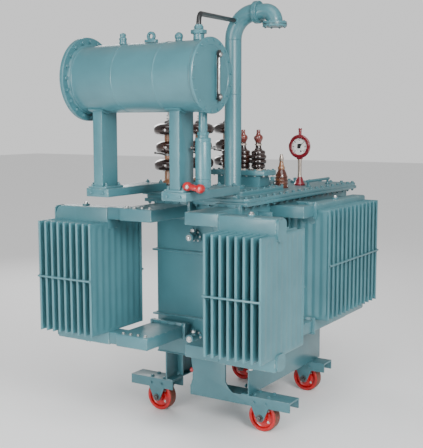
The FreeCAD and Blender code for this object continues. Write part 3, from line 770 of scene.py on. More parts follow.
# ------------------------------------------------------------------------------ tank
@dataclass
class Tank:
    """The welded tank with its rim, bolted cover, stiffening bands and lifting lugs."""

    corner: float = 0.006
    bolt_pitch: float = 0.082
    bolt_inset: float = 0.022
    bolt_size: float = 0.0095
    bead_size: float = 0.004
    boss_rows: tuple[float, ...] = (0.48, 0.86)
    boss_columns: tuple[float, ...] = (-0.18, 0.0)

    def build(self) -> None:
        """Build every piece of the tank."""
        self.shell()
        self.rim()
        self.cover()
        for node in ("stiffener_lower", "stiffener_upper"):
            plain_piece(node + "_band", node, 0.002)
        self.lugs()

    def shell(self) -> None:
        """Build the walls with the weld beads that run round their foot and under the rim."""
        low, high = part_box("tank_body")
        shape = Shape("tank_shell").like_node("tank_body", Finish.TANK, self.corner, 3)
        levels = [low.z + self.bead_size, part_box("tank_rim")[0].z]
        for node in ("stiffener_lower", "stiffener_upper"):
            band_low, band_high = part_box(node)
            levels += [band_low.z, band_high.z]
        for z in levels:
            corners = [(low.x, low.y, z), (high.x, low.y, z), (high.x, high.y, z),
                       (low.x, high.y, z), (low.x, low.y, z)]
            shape.bead(corners, self.bead_size)
        seam_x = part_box("front_valves")[1].x + 0.07
        shape.bead([(seam_x, low.y, low.z + 0.01), (seam_x, low.y, high.z - 0.03)],
                   self.bead_size * 0.7)
        for x in (low.x + 0.04, high.x - 0.04):
            for y in (low.y + 0.05, high.y - 0.05):
                side = math.copysign(0.012, x)
                shape.block((min(x, x + side) - 0.03, y - 0.03, low.z),
                            (max(x, x + side) + 0.03, y + 0.03, low.z + 0.012), Finish.TANK)
        boss = Vector((high.x - 0.12, low.y, low.z + 0.06))
        shape.rod(boss, boss - Y * 0.022, 0.019, Finish.TANK)
        shape.bolt(boss - Y * 0.022, -Y, 0.009, Finish.STEEL, 0.006)
        shape.piece("tank_paint", stands_for=["tank_body"])

    def rim(self) -> None:
        """Build the rim with the nuts under it."""
        low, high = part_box("tank_rim")
        shape = Shape("tank_rim_flange").like_node("tank_rim", Finish.TANK, 0.0022)
        for spot in frame_spots(low, high, self.bolt_inset, self.bolt_pitch):
            shape.bolt((spot.x, spot.y, low.z), -Z, self.bolt_size, Finish.TANK, 0.006)
        shape.piece("tank_paint", stands_for=["tank_rim"])

    def cover(self) -> None:
        """Build the cover with its bolts and bosses, and the raised plate on it."""
        low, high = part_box("cover_plate")
        shape = Shape("cover_bolted").like_node("cover_plate", Finish.TANK, 0.0025)
        arms = ("conservator_arm_left", "conservator_arm_right")
        for spot in frame_spots(low, high, self.bolt_inset, self.bolt_pitch):
            if clear_of(spot, arms, 0.014):
                shape.bolt(spot, Z, self.bolt_size)
        for y in self.boss_rows:
            for x in self.boss_columns:
                shape.lathe((x, y, high.z), Z, ((0, 0.034), (0.028, 0.034), (0.032, 0.030),
                            (0.032, 0.012), (0.050, 0.012), (0.050, 0), (0, 0)), Finish.TANK, 32)
                shape.bolt_ring((x, y, high.z + 0.012), Z, 0.041, 6, 0.004)
        shape.piece("tank_paint", stands_for=["cover_plate"])
        low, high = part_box("raised_plate")
        shape = Shape("raised_plate_bolted").like_node("raised_plate", Finish.TANK, 0.0025)
        for spot in frame_spots(low, high, 0.017, 0.075):
            if clear_of(spot, ("lv_turret",), -0.02):
                shape.bolt(spot, Z, 0.008)
        edge = [(low.x, low.y + 0.03, low.z), (low.x + 0.03, low.y, low.z),
                (high.x - 0.03, low.y, low.z), (high.x, low.y + 0.03, low.z),
                (high.x, high.y - 0.03, low.z)]
        shape.bead(edge, self.bead_size)
        shape.piece("tank_paint", stands_for=["raised_plate"])

    def lugs(self) -> None:
        """Build the lifting lugs with the beads that join them to the walls."""
        shape = Shape("lifting_lug_set").like_node("lifting_lugs", Finish.TANK, 0.003)
        low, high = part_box("lifting_lugs")
        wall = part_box("tank_body")[1].x
        for y in (low.y, low.y + 0.016, high.y - 0.016, high.y):
            for x in (-wall, wall):
                shape.bead([(x, y, low.z), (x, y, high.z)], self.bead_size)
        shape.piece("tank_paint", stands_for=["lifting_lugs"])


# ------------------------------------------------------------------------------ radiators
@dataclass
class Radiator:
    """A stack of pressed fins between two headers, with tie bars across it."""

    node: str
    count: int
    across_x: bool
    flutes: int
    thick: float = 0.016
    nose: float = 0.008
    valley: float = 0.78
    boss: float = 0.010
    tie: float = 0.010
    low_header: float = 0.094
    high_header: float = 0.119
    over: float = 0.077
    side_over: float = 0.030
    header_in: float = 0.150
    weld_half: float = 0.011
    fin_low: float = 0.600
    header_deep: float = 0.096
    crown: float = 0.012

    def fin(self, wide: float, high: float) -> bpy.types.Mesh:
        """Press one fin, lying in local X and Y with its thickness along Z.

        Args:
            wide: its width.
            high: its height.

        Returns:
            Its mesh.
        """
        ends = [0.0, 0.0012, 0.004, self.nose]
        middle = along(self.nose, wide - self.nose, wide / (self.flutes * 5.0))
        us = ends[:-1] + middle + [wide - end for end in reversed(ends[:-1])]
        rows = [0.0, 0.0012, 0.004, self.nose, 0.018, 0.030, 0.042]
        vs = rows + [high - row for row in reversed(rows)]
        form = bmesh.new()
        bmesh.ops.create_grid(form, x_segments=len(us) - 1, y_segments=len(vs) - 1, size=0.5)
        for vert in form.verts:
            u = us[round((vert.co.x + 0.5) * (len(us) - 1))]
            v = vs[round((vert.co.y + 0.5) * (len(vs) - 1))]
            edge = min(u, wide - u, v, high - v)
            nose = math.sqrt(max(0.0, 1 - (1 - min(edge / self.nose, 1)) ** 2))
            span = (u - self.nose * 2) / (wide - self.nose * 4) * self.flutes
            dip = (0.5 - 0.5 * math.cos(math.tau * span)) ** 0.8 if 0 < span < self.flutes else 0.0
            fade = min(max((min(v, high - v) - 0.012) / 0.03, 0), 1)
            dip = 1 - self.valley * fade * (1 - dip) if 0 < span < self.flutes else 1.0
            vert.co = Vector((u, v, self.thick / 2 * nose * dip))
        bmesh.ops.mirror(form, geom=form.verts[:] + form.edges[:] + form.faces[:],
                         matrix=Matrix.Identity(4), merge_dist=1e-5, axis="Z")
        bmesh.ops.recalc_face_normals(form, faces=form.faces)
        mesh = bpy.data.meshes.new("fin")
        form.to_mesh(mesh)
        form.free()
        return mesh

    def build(self) -> None:
        """Build the fins and then the headers and bars."""
        low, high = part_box(self.node)
        outer = -1 if low.x < 0 else 1
        reach = self.boss if self.across_x else self.tie
        edge = self.tie if self.across_x else 0.0
        over = self.over if self.across_x else self.side_over
        fin_low = Vector((low.x + (reach if outer < 0 else 0), low.y + edge, self.fin_low))
        fin_high = Vector((high.x - (reach if outer > 0 else 0), high.y - edge, high.z - over))
        self.fins(fin_low, fin_high)
        self.headers(low, high, fin_low, fin_high, outer)

    def fins(self, low: Vector, high: Vector) -> None:
        """Place the fins between two corners.

        Args:
            low: the stack's lowest corner.
            high: its highest corner.
        """
        if self.across_x:
            mesh, turn = self.fin(high.y - low.y, high.z - low.z), TO_SIDE
            step = (high.x - low.x - self.thick) / (self.count - 1)
            spots = [Vector((low.x + self.thick / 2 + step * index, low.y, low.z))
                     for index in range(self.count)]
        else:
            mesh, turn = self.fin(high.x - low.x, high.z - low.z), TO_BACK
            step = (high.y - low.y - self.thick) / (self.count - 1)
            spots = [Vector((low.x, low.y + self.thick / 2 + step * index, low.z))
                     for index in range(self.count)]
        shape = Shape(self.node + "_fins")
        for spot in spots:
            shape.stamp(mesh, Matrix.Translation(spot) @ turn, Finish.RADIATOR)
        shape.piece("radiator_paint", stands_for=[self.node])

    def headers(self, low: Vector, high: Vector, fin_low: Vector, fin_high: Vector,
                outer: int) -> None:
        """Build the headers, their end bosses, plugs and the tie bars.

        Args:
            low: the radiator's lowest corner.
            high: its highest corner.
            fin_low: the fins' lowest corner.
            fin_high: the fins' highest corner.
            outer: the side of the transformer it stands on, -1 or 1.
        """
        shape = Shape(self.node + "_headers")
        levels = ((low.z, low.z + self.low_header), (high.z - self.high_header, high.z))
        middle_z = (self.fin_low + fin_high.z) / 2
        if self.across_x:
            front = fin_low.y + self.header_in
            back = front + self.header_deep
            end_x = low.x if outer < 0 else high.x
            for bottom, top in levels:
                self.header(shape, (fin_low.x, front, bottom), (fin_high.x, back, top), outer)
                inner = end_x - outer * self.boss
                shape.block((min(inner, end_x), front + 0.004, bottom + 0.002),
                            (max(inner, end_x), back - 0.004, top - 0.004), Finish.RADIATOR,
                            0.026, 4, lambda e: abs(e.verts[0].co.x - e.verts[1].co.x) > 0.005)
                for z in (bottom + 0.022, top - 0.024):
                    shape.bolt((end_x - outer * 0.008, (front + back) / 2, z), X * outer, 0.007,
                               Finish.STEEL)
                shape.bead([(fin_low.x, front, bottom + 0.012), (fin_low.x, front, top - 0.012)],
                           0.003, Finish.RADIATOR)
            first, last = fin_low.x + self.thick / 2, fin_high.x - self.thick / 2
            step = (last - first) / (self.count - 1)
            for y, edge in ((low.y, low.y + self.tie), (high.y - self.tie, high.y - self.tie)):
                self.tie_bar(shape, (fin_low.x, y), (fin_high.x, y + self.tie), middle_z,
                             [(first + step * index, edge) for index in range(self.count)])
            plug = Vector(((fin_low.x + fin_high.x) / 2, (front + back) / 2, high.z))
        else:
            middle = (fin_low.x + fin_high.x) / 2
            for bottom, top in levels:
                shape.block((middle - self.header_deep / 2, fin_low.y, bottom),
                            (middle + self.header_deep / 2, fin_high.y, top), Finish.RADIATOR,
                            0.012, 3)
                shape.bolt((middle, fin_high.y - 0.001, (bottom + top) / 2), Y, 0.012)
            bar_x = low.x if outer < 0 else high.x - self.tie
            edge = bar_x + (self.tie if outer < 0 else 0)
            self.tie_bar(shape, (bar_x, fin_low.y), (bar_x + self.tie, fin_high.y), middle_z,
                         [(edge, y) for y in along(fin_low.y + 0.012, fin_high.y - 0.012, 0.062)])
            plug = Vector((middle, (fin_low.y + fin_high.y) / 2, high.z))
        shape.rod(plug - Z * 0.004, plug + Z * 0.010, 0.020, Finish.RADIATOR)
        shape.bolt(plug + Z * 0.010, Z, 0.011, Finish.STEEL)
        drain = Vector((plug.x, plug.y, low.z))
        shape.rod(drain + Z * 0.004, drain - Z * 0.010, 0.020, Finish.RADIATOR)
        shape.bolt(drain - Z * 0.010, -Z, 0.010, Finish.STEEL)
        shape.piece("radiator_paint")

    def tie_bar(self, shape: Shape, low: tuple[float, float], high: tuple[float, float],
                level: float, welds: Iterable[tuple[float, float]]) -> None:
        """Add a flat bar across the fins with the short weld that joins it to each.

        Args:
            shape: the piece it joins.
            low: its lowest corner seen from above.
            high: its highest corner seen from above.
            level: the height of its middle.
            welds: where the welds are, seen from above.
        """
        shape.block((*low, level - self.tie / 2), (*high, level + self.tie / 2),
                    Finish.RADIATOR, 0.002)
        for x, y in welds:
            shape.rod((x, y, level - self.weld_half), (x, y, level + self.weld_half), 0.004,
                      Finish.RADIATOR, 8, 0.0)

    def header(self, shape: Shape, low: Sequence[float], high: Sequence[float],
               outer: int) -> None:
        """Add one box header whose upper outer edge is rounded by the crown.

        Args:
            shape: the piece it joins.
            low: its lowest corner.
            high: its highest corner.
            outer: the side of its outer end, -1 or 1.
        """
        form = bmesh.new()
        low, high = Vector(low), Vector(high)
        bmesh.ops.create_cube(form, size=1.0, matrix=Matrix.Translation((low + high) / 2)
                              @ Matrix.Diagonal((*(high - low), 1.0)))
        end_x = low.x if outer < 0 else high.x
        soften(form, self.crown, 5, lambda edge: all(
            abs(vert.co.x - end_x) < 1e-4 and abs(vert.co.z - high.z) < 1e-4
            for vert in edge.verts))
        soften(form, 0.006, 2)
        shape.take(form, Finish.RADIATOR)


@dataclass
class Ducts:
    """The flat oil ducts between tank and radiators, with flanged joints at the tank."""

    lip: float = 0.016
    flange: float = 0.012
    joint: float = 0.060
    left_start: dict[str, float] = field(default_factory=lambda: {"top": 0.023, "bottom": 0.060})
    left_wide: float = 0.211
    right_span: tuple[float, float] = (0.174, 0.304)
    side_half: float = 0.048

    def build(self) -> None:
        """Build the front and the side ducts."""
        self.front()
        self.sides()

    def front(self) -> None:
        """Build the front ducts with their flange pairs and the bolts on top."""
        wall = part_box("tank_body")[0].y
        for end_name, left in self.left_start.items():
            node = "front_ducts_" + end_name
            low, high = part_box(node)
            shape = Shape(node + "_boxes").like_node(node, Finish.TANK, 0.005, 3)
            spans = ((-left - self.left_wide, -left), self.right_span)
            for start, end in spans:
                for y in (wall - self.joint, wall - self.joint - self.flange - 0.002):
                    shape.block((start - self.lip, y - self.flange, low.z - self.lip),
                                (end + self.lip, y, high.z + self.lip), Finish.TANK)
                face = wall - self.joint - 0.002 - 2 * self.flange
                for x in along(start, end, 0.06):
                    for z in (low.z - self.lip * 0.5, high.z + self.lip * 0.5):
                        shape.bolt((x, face, z), -Y, 0.006)
                        shape.bolt((x, wall - self.joint, z), Y, 0.006)
            for x in along(spans[0][0] + 0.03, spans[0][1] - 0.03, 0.05):
                shape.bolt((x, low.y + 0.03, high.z), Z, 0.008, Finish.STEEL)
            shape.piece("tank_paint", stands_for=[node])

    def sides(self) -> None:
        """Build the side ducts with one flange each."""
        for node in ("side_ducts_top", "side_ducts_bottom"):
            low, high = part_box(node)
            shape = Shape(node + "_boxes").like_node(node, Finish.TANK, 0.005, 3)
            for side in (-1, 1):
                middle = side * (high.x - self.side_half)
                y = high.y - 0.018
                shape.block((middle - self.side_half - self.lip, y - self.flange, low.z - self.lip),
                            (middle + self.side_half + self.lip, y, high.z + self.lip),
                            Finish.TANK)
                for x in (middle - self.side_half, middle, middle + self.side_half):
                    for z in (low.z - self.lip * 0.5, high.z + self.lip * 0.5):
                        shape.bolt((x, y - self.flange, z), -Y, 0.006)
            shape.piece("tank_paint", stands_for=[node])


# ------------------------------------------------------------------------------ running gear
@dataclass
class Base:
    """Skids, cross channels with their hangers, axle nuts and end bolts, and the rollers."""

    names: tuple[str, ...] = ("front_left", "front_right", "rear_left", "rear_right")
    dish: float = 0.017
    tread_half: float = 0.030
    bore: float = 0.01205
    hanger_top: float = 0.208

    def build(self) -> None:
        """Build the frame of the base and then the rollers."""
        for node in ("skid_left", "skid_right"):
            low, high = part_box(node)
            shape = Shape(node + "_channel").like_node(node, Finish.BASE, 0.0025)
            for y in along(low.y + 0.06, high.y - 0.06, 0.28):
                x = low.x if low.x > 0 else high.x
                for z in (low.z + 0.035, high.z - 0.035):
                    shape.bolt((x, y, z), -X if low.x > 0 else X, 0.008)
                shape.block((min(low.x + 0.004, high.x - 0.046), y + 0.06, low.z + 0.006),
                            (max(high.x - 0.004, low.x + 0.046), y + 0.068, high.z - 0.006),
                            Finish.BASE, 0.0012)
            shape.piece("base_paint", stands_for=[node])
        for node in ("base_cross_front", "base_cross_rear", "base_stub_front_left"):
            self.channel(node)
        for name in self.names:
            self.roller(name)
        self.clips()

    def channel(self, node: str) -> None:
        """Build one cross channel with its bolts.

        Args:
            node: its frame part.
        """
        low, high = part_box(node)
        shape = Shape(node + "_channel").like_node(node, Finish.BASE, 0.0022)
        rollers = [name for name in self.names
                   if holds_middle(f"roller_{name}", low, high)]
        for name in rollers:
            r_low, r_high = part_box(f"roller_{name}")
            middle = (r_low + r_high) / 2
            for face, way in ((low.y, -Y), (high.y, Y)):
                spot = Vector((middle.x, face, middle.z))
                shape.bolt(spot, way, 0.015, Finish.DARK_STEEL, 0.008)
                for x in (-0.038, 0.038):
                    shape.bolt(spot + X * x + Z * 0.088, way, 0.008)
            for x in (-0.045, 0.045):
                for y in (low.y + 0.026, high.y - 0.026):
                    shape.bolt((middle.x + x, y, self.hanger_top), Z, 0.010, Finish.BASE)
        shape.piece("base_paint", stands_for=[node])

    def roller(self, name: str) -> None:
        """Build one roller with its dished cheeks, hub and washers.

        Args:
            name: where it sits.
        """
        node = "roller_" + name
        low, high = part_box(node)
        middle, big = (low + high) / 2, (high.z - low.z) / 2
        hub, half, bore = (high.y - low.y) / 2, self.tread_half, self.bore
        cheek = half - self.dish
        side = ((bore, hub), (0.024, hub), (0.0285, hub - 0.0015), (0.030, hub - 0.005),
                (0.030, cheek + 0.006), (0.032, cheek + 0.002), (0.037, cheek),
                (0.056, cheek + 0.001), (0.063, cheek + 0.004), (0.0665, half - 0.003),
                (0.069, half), (0.080, half), (0.0845, half - 0.001), (0.0868, half - 0.004),
                (big - 0.0004, half - 0.008))
        mirrored = [(radius, -height) for radius, height in reversed(side)]
        profile = [*side, (big, half * 0.4), (big, -half * 0.4), *mirrored, side[0]]
        # faces beyond radius 0.0845, the tread and rounded rim edges, take the brown of wear and of
        # painted shade
        shape = Shape(node + "_wheel").lathe(middle, Y, profile, Finish.ROLLER_RED, 72,
                                             lambda radius: radius > 0.0845)
        for way in (-1, 1):
            face = middle + Y * way * (cheek + 0.001)
            for index in range(4):
                turn = math.pi / 4 + index * math.pi / 2
                spot = face + Vector((math.cos(turn), 0, math.sin(turn))) * 0.046
                shape.bolt(spot, Y * way, 0.0055, Finish.STEEL, 0.003)
        shape.piece("roller_red", body=node + "_body", stands_for=[node])

    def clips(self) -> None:
        """Build the small red knob low at the front of the tank."""
        low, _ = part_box("skid_left")
        shape = Shape("brake_knob")
        spot = Vector((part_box("base_cross_front")[0].x + 0.010, low.y + 0.03, 0.300))
        shape.rod(spot + Y * 0.03, spot - Y * 0.012, 0.007, Finish.STEEL)
        shape.lathe(spot - Y * 0.034, Y, ((0, 0), (0.009, 0.001), (0.014, 0.005), (0.015, 0.012),
                    (0.012, 0.018), (0.007, 0.022), (0, 0.022)), Finish.VALVE_RED, 24)
        shape.piece("valve_red")


def holds_middle(node: str, low: Vector, high: Vector) -> bool:
    """Tell whether the middle of a frame part lies within a box seen from above.

    Args:
        node: the frame part.
        low: the box's lowest corner.
        high: its highest corner.

    Returns:
        True where it is inside.
    """
    first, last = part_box(node)
    middle = (first + last) / 2
    return low.x < middle.x < high.x and low.y < middle.y < high.y


# ------------------------------------------------------------------------------ conservator
@dataclass
class Conservator:
    """The expansion drum with its flanges, gauge and fittings, its posts, arms and breather."""

    sides: int = 96
    seam: float = 0.003
    saddle_half: float = 0.045
    saddle_turn: float = 56.0

    def build(self) -> None:
        """Build the drum and everything that it stands on or carries."""
        self.drum()
        self.gauge()
        self.fittings()
        self.stand()
        self.breather()

    def drum(self) -> None:
        """Build the shell with its seams and the two bolted ends."""
        low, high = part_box("conservator_shell")
        middle, round_ = (low + high) / 2, (high.z - low.z) / 2
        length = high.x - low.x
        inner = round_ - 0.02
        profile = [(inner, 0), (round_ - 0.0015, 0), (round_ - 0.0005, 0.002)]
        for share in (0.02, 0.36, 0.70, 0.98):
            at = length * share
            profile += [(round_ - 0.002, at - 0.005), (round_ - 0.0004, at - 0.002),
                        (round_, at), (round_ - 0.0004, at + 0.002), (round_ - 0.002, at + 0.005)]
        profile += [(round_ - 0.0015, length), (inner, length)]
        start = Vector((low.x, middle.y, middle.z))
        shape = Shape("conservator_drum").lathe(start, X, profile, Finish.TANK, self.sides)
        shape.bead([start - Z * (round_ - 0.002) + X * 0.01,
                    start - Z * (round_ - 0.002) + X * (length - 0.01)], self.seam)
        shape.piece("tank_paint", stands_for=["conservator_shell"])
        self.flange(middle, round_)
        self.end_cover(middle)

    def flange(self, middle: Vector, round_: float) -> None:
        """Build the bolted flange pair that closes the drum's left end.

        Args:
            middle: the middle of the drum.
            round_: the drum's radius.
        """
        low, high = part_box("conservator_end_left")
        big, thick = (high.z - low.z) / 2, high.x - low.x
        at = Vector((low.x, middle.y, middle.z))
        half = thick / 2
        rings = ((0, 0.004), (0.150, 0.004), (0.160, 0.001), (0.166, 0.0), (big - 0.003, 0.0),
                 (big, 0.003), (big, half - 0.001), (big - 0.002, half), (big, half + 0.001),
                 (big, thick - 0.003), (big - 0.003, thick), (round_, thick), (0, thick))
        shape = Shape("conservator_flange").lathe(at, X, rings, Finish.TANK, self.sides)
        ring = (big + round_) / 2
        shape.bolt_ring(at, -X, ring, 20, 0.0085)
        shape.bolt_ring(at + X * thick, X, ring, 20, 0.0085)
        shape.lathe(at + X * thick, X, ((round_ - 0.002, 0), (round_ + 0.008, 0),
                    (round_ + 0.005, 0.006), (round_ - 0.002, 0.010)), Finish.TANK, self.sides)
        for z in (-0.07, 0.07):
            shape.block((low.x - 0.002, middle.y - 0.045, middle.z + z - 0.006),
                        (low.x + 0.006, middle.y + 0.045, middle.z + z + 0.006), Finish.TANK)
        shape.piece("tank_paint", stands_for=["conservator_end_left"])

    def end_cover(self, middle: Vector) -> None:
        """Build the bolted cover on the drum's right end.

        Args:
            middle: the middle of the drum.
        """
        low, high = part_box("conservator_end_right")
        big, thick = (high.z - low.z) / 2, high.x - low.x
        at = Vector((low.x, middle.y, middle.z))
        rings = ((0, 0), (big - 0.002, 0), (big, 0.002), (big, thick - 0.003),
                 (big - 0.003, thick), (0.150, thick), (0.148, thick - 0.002), (0, thick - 0.002))
        shape = Shape("conservator_cover").lathe(at, X, rings, Finish.TANK, self.sides)
        shape.bolt_ring(at + X * (thick - 0.0005), X, big - 0.014, 18, 0.0058, start=0.1)
        shape.piece("tank_paint", stands_for=["conservator_end_right"])

    def gauge(self) -> None:
        """Build the sight gauge: a black frame, a white scale with marks and steel ends."""
        low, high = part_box("oil_level_gauge")
        y, z = (low.y + high.y) / 2, (low.z + high.z) / 2
        reach, out = (high.z - low.z) / 2 - 0.007, high.x
        shape = Shape("oil_gauge")
        shape.block((low.x, y - 0.016, low.z + 0.004), (low.x + 0.008, y + 0.016, high.z - 0.004),
                    Finish.TANK, 0.0025)
        shape.block((low.x + 0.008, y - 0.012, z - reach + 0.02),
                    (low.x + 0.0115, y + 0.012, z + reach - 0.02), Finish.WHITE, 0.001)
        shape.block((low.x + 0.008, y - 0.0155, z - reach + 0.016),
                    (low.x + 0.014, y - 0.010, z + reach - 0.016), Finish.BLACK, 0.001)
        shape.rod((low.x + 0.015, y - 0.002, z - reach + 0.015),
                  (low.x + 0.015, y - 0.002, z + reach - 0.015), 0.0045, Finish.STEEL, 16)
        for spot in along(z - reach + 0.03, z + reach - 0.03, 0.015):
            shape.block((low.x + 0.0113, y + 0.004, spot - 0.0012),
                        (low.x + 0.0125, y + 0.011, spot + 0.0012), Finish.BLACK, 0.0)
        for way in (-1, 1):
            end = Vector((low.x + 0.004, y, z + way * (reach - 0.005)))
            shape.rod(end, Vector((out - 0.004, end.y, end.z)), 0.016, Finish.BLACK)
            shape.bolt((out - 0.006, end.y, end.z), X, 0.0085, Finish.STEEL)
            side = end + X * 0.010
            shape.rod(side + Z * way * 0.006, side + Z * way * 0.022, 0.008, Finish.BLACK, 6)
        shape.piece("dial_red", stands_for=["oil_level_gauge"])

    def fittings(self) -> None:
        """Build the plug, the lifting eye, the relief knob and the union on top of the drum."""
        at, tall = footing("filler_plug")
        Shape("filler_plug_cap").lathe(
            at, Z, ((0, 0), (0.020, 0), (0.020, 0.012), (0.0185, 0.014), (0.0185, 0.020),
                    (0.020, 0.022), (0.020, 0.030), (0.015, 0.034), (0.015, 0.040),
                    (0.0165, 0.043), (0.0165, tall - 0.009), (0.0130, tall - 0.003),
                    (0.006, tall), (0, tall)), Finish.TANK, 36).piece(
            "tank_paint", stands_for=["filler_plug"])
        plain_piece("lifting_eye", "conservator_lifting_eye", 0.002)
        at, tall = footing("relief_knob")
        ball = [(0.0215 * math.sin(turn), tall - 0.0215 - 0.0215 * math.cos(turn))
                for turn in along(0.75, math.pi, 0.2)]
        Shape("relief_knob_ball").lathe(
            at, Z, [(0, 0), (0.018, 0), (0.018, 0.010), (0.013, 0.012), (0.012, 0.018), *ball],
            Finish.TANK, 36).piece("tank_paint", stands_for=["relief_knob"])
        at, tall = footing("equalizer_union")
        shape = Shape("pipe_union").lathe(
            at, Z, ((0, 0), (0.028, 0), (0.028, 0.028), (0.030, 0.030), (0.030, tall - 0.048),
                    (0, tall - 0.048)), Finish.TANK, 36)
        for start, end, size in ((0.029, 0.049, 0.0398), (0.051, tall - 0.006, 0.0235)):
            shape.rod(at + Z * start, at + Z * end, size, Finish.TANK, 6, 0.0025)
        shape.rod(at + Z * (tall - 0.008), at + Z * tall, 0.019, Finish.TANK, 24)
        shape.piece("tank_paint", stands_for=["equalizer_union"])

    def stand(self) -> None:
        """Build posts, arms and packings with their foot plates, saddles and bolts."""
        drum_low, drum_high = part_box("conservator_shell")
        round_ = (drum_high.z - drum_low.z) / 2
        axis = (drum_low + drum_high) / 2
        for side in ("left", "right"):
            low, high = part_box(f"conservator_post_{side}")
            shape = Shape(f"post_{side}").like_node(f"conservator_post_{side}", Finish.TANK,
                                                    0.004, 3)
            middle = (low + high) / 2
            foot = 0.010
            shape.block((low.x - 0.030, low.y - 0.010, low.z), (high.x + 0.030, high.y + 0.010,
                        low.z + foot), Finish.TANK)
            for x in (low.x - 0.015, high.x + 0.015):
                for y in (low.y + 0.012, high.y - 0.012):
                    shape.bolt((x, y, low.z + foot), Z, 0.0095, Finish.TANK, 0.010)
            for y in (low.y, high.y):
                shape.bead([(low.x, y, low.z + foot), (high.x, y, low.z + foot)])
            self.saddle(shape, Vector((middle.x, axis.y, axis.z)), round_)
            shape.piece("tank_paint", stands_for=[f"conservator_post_{side}"])
            node = f"conservator_arm_{side}"
            low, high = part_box(node)
            shape = Shape(f"arm_{side}").like_node(node, Finish.TANK, 0.005, 3)
            shape.block((low.x + 0.006, low.y, low.z), (high.x - 0.006, low.y + 0.008,
                        high.z - 0.006), Finish.TANK, 0.0015)
            for x in (low.x + 0.028, high.x - 0.028):
                shape.bolt((x, high.y - 0.018, high.z), Z, 0.010, Finish.TANK, 0.008)
            for x in (low.x + 0.035, high.x - 0.035):
                shape.bolt((x, low.y, (low.z + high.z) / 2), -Y, 0.0075)
            shape.piece("tank_paint", stands_for=[node])
        plain_piece("arm_packing_blocks", "arm_packings", 0.002)

    def saddle(self, shape: Shape, at: Vector, round_: float) -> None:
        """Add the curved plate that a post holds the drum with.

        Args:
            shape: the piece it joins.
            at: the point of the drum's axis above the post.
            round_: the drum's radius.
        """
        form = bmesh.new()
        inner, outer = round_ - 0.001, round_ + 0.007
        half = self.saddle_half
        corners = ((inner, -half), (outer, -half), (outer, half), (inner, half))
        arc = [form.verts.new((radius, 0, height)) for radius, height in corners]
        loop = [form.edges.new((arc[i], arc[(i + 1) % 4])) for i in range(4)]
        face = form.faces.new(arc)
        bmesh.ops.spin(form, geom=[*arc, *loop, face], cent=(0, 0, 0), axis=(0, 0, 1),
                       angle=math.radians(self.saddle_turn), steps=14, use_merge=False)
        bmesh.ops.recalc_face_normals(form, faces=form.faces)
        turn = Matrix.Rotation(math.radians(-self.saddle_turn / 2), 4, "Z")
        down = Matrix(((0, 0, 1, 0), (0, 1, 0, 0), (-1, 0, 0, 0), (0, 0, 0, 1)))
        bmesh.ops.transform(form, verts=form.verts, matrix=Matrix.Translation(at) @ down @ turn)
        shape.take(form, Finish.TANK)

    def breather(self) -> None:
        """Build the breather body, its pipe, and the red cock with its two rounded lobes."""
        at, _ = footing("breather_pipe")
        shape = Shape("breather_tube").like_node("breather_pipe", Finish.TANK, 0.001)
        shape.rod(at, at + Z * 0.016, 0.030, Finish.TANK, 6, 0.002)
        shape.piece("tank_paint", stands_for=["breather_pipe"])
        foot, tall = footing("breather_body")
        profile = ((0, 0), (0.026, 0), (0.030, 0.003), (0.030, 0.013), (0.038, 0.014),
                   (0.040, 0.018), (0.040, 0.050), (0.0385, 0.052), (0.0385, 0.056),
                   (0.040, 0.058), (0.040, tall - 0.040), (0.0385, tall - 0.036),
                   (0.0385, tall - 0.032), (0.040, tall - 0.030), (0.040, tall - 0.015),
                   (0.036, tall - 0.012), (0.028, tall - 0.011), (0.028, tall), (0, tall))
        shape = Shape("breather_canister").lathe(foot, Z, profile, Finish.TANK, 56)
        for turn in (0.4, 0.4 + math.pi):
            way = Vector((math.cos(turn), math.sin(turn), 0))
            spot = foot + Z * (tall - 0.062)
            shape.rod(spot + way * 0.038, spot + way * 0.056, 0.006, Finish.DARK_STEEL)
            shape.rod(spot + way * 0.052, spot + way * 0.062, 0.010, Finish.DARK_STEEL, 12)
        shape.piece("tank_paint", stands_for=["breather_body"])
        low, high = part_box("breather_valve")
        z = (low.z + high.z) / 2
        shape = Shape("breather_cock")
        lobe = ((0, 0), (0.010, 0.0008), (0.017, 0.004), (0.0215, 0.010), (0.0235, 0.018),
                (0.0235, 0.028), (0.0215, 0.036), (0.016, 0.041), (0.009, 0.0435), (0, 0.044))
        for x, lift in ((low.x + 0.024, 0.004), (high.x - 0.024, -0.004)):
            shape.lathe((x, low.y, z + lift), Y, lobe, Finish.VALVE_RED, 32)
        for lift in (-0.004, 0.004):
            shape.rod((low.x + 0.022, low.y + 0.022 + lift, z + 0.006),
                      (high.x - 0.022, low.y + 0.022 + lift, z - 0.006), 0.015,
                      Finish.VALVE_RED, 24, 0.004)
        shape.rod((at.x, low.y + 0.026, z), (at.x, high.y, z), 0.010, Finish.STEEL)
        shape.bolt((at.x - 0.036, low.y, z + 0.004), -Y, 0.007, Finish.STEEL)
        shape.piece("valve_red", stands_for=["breather_valve"])


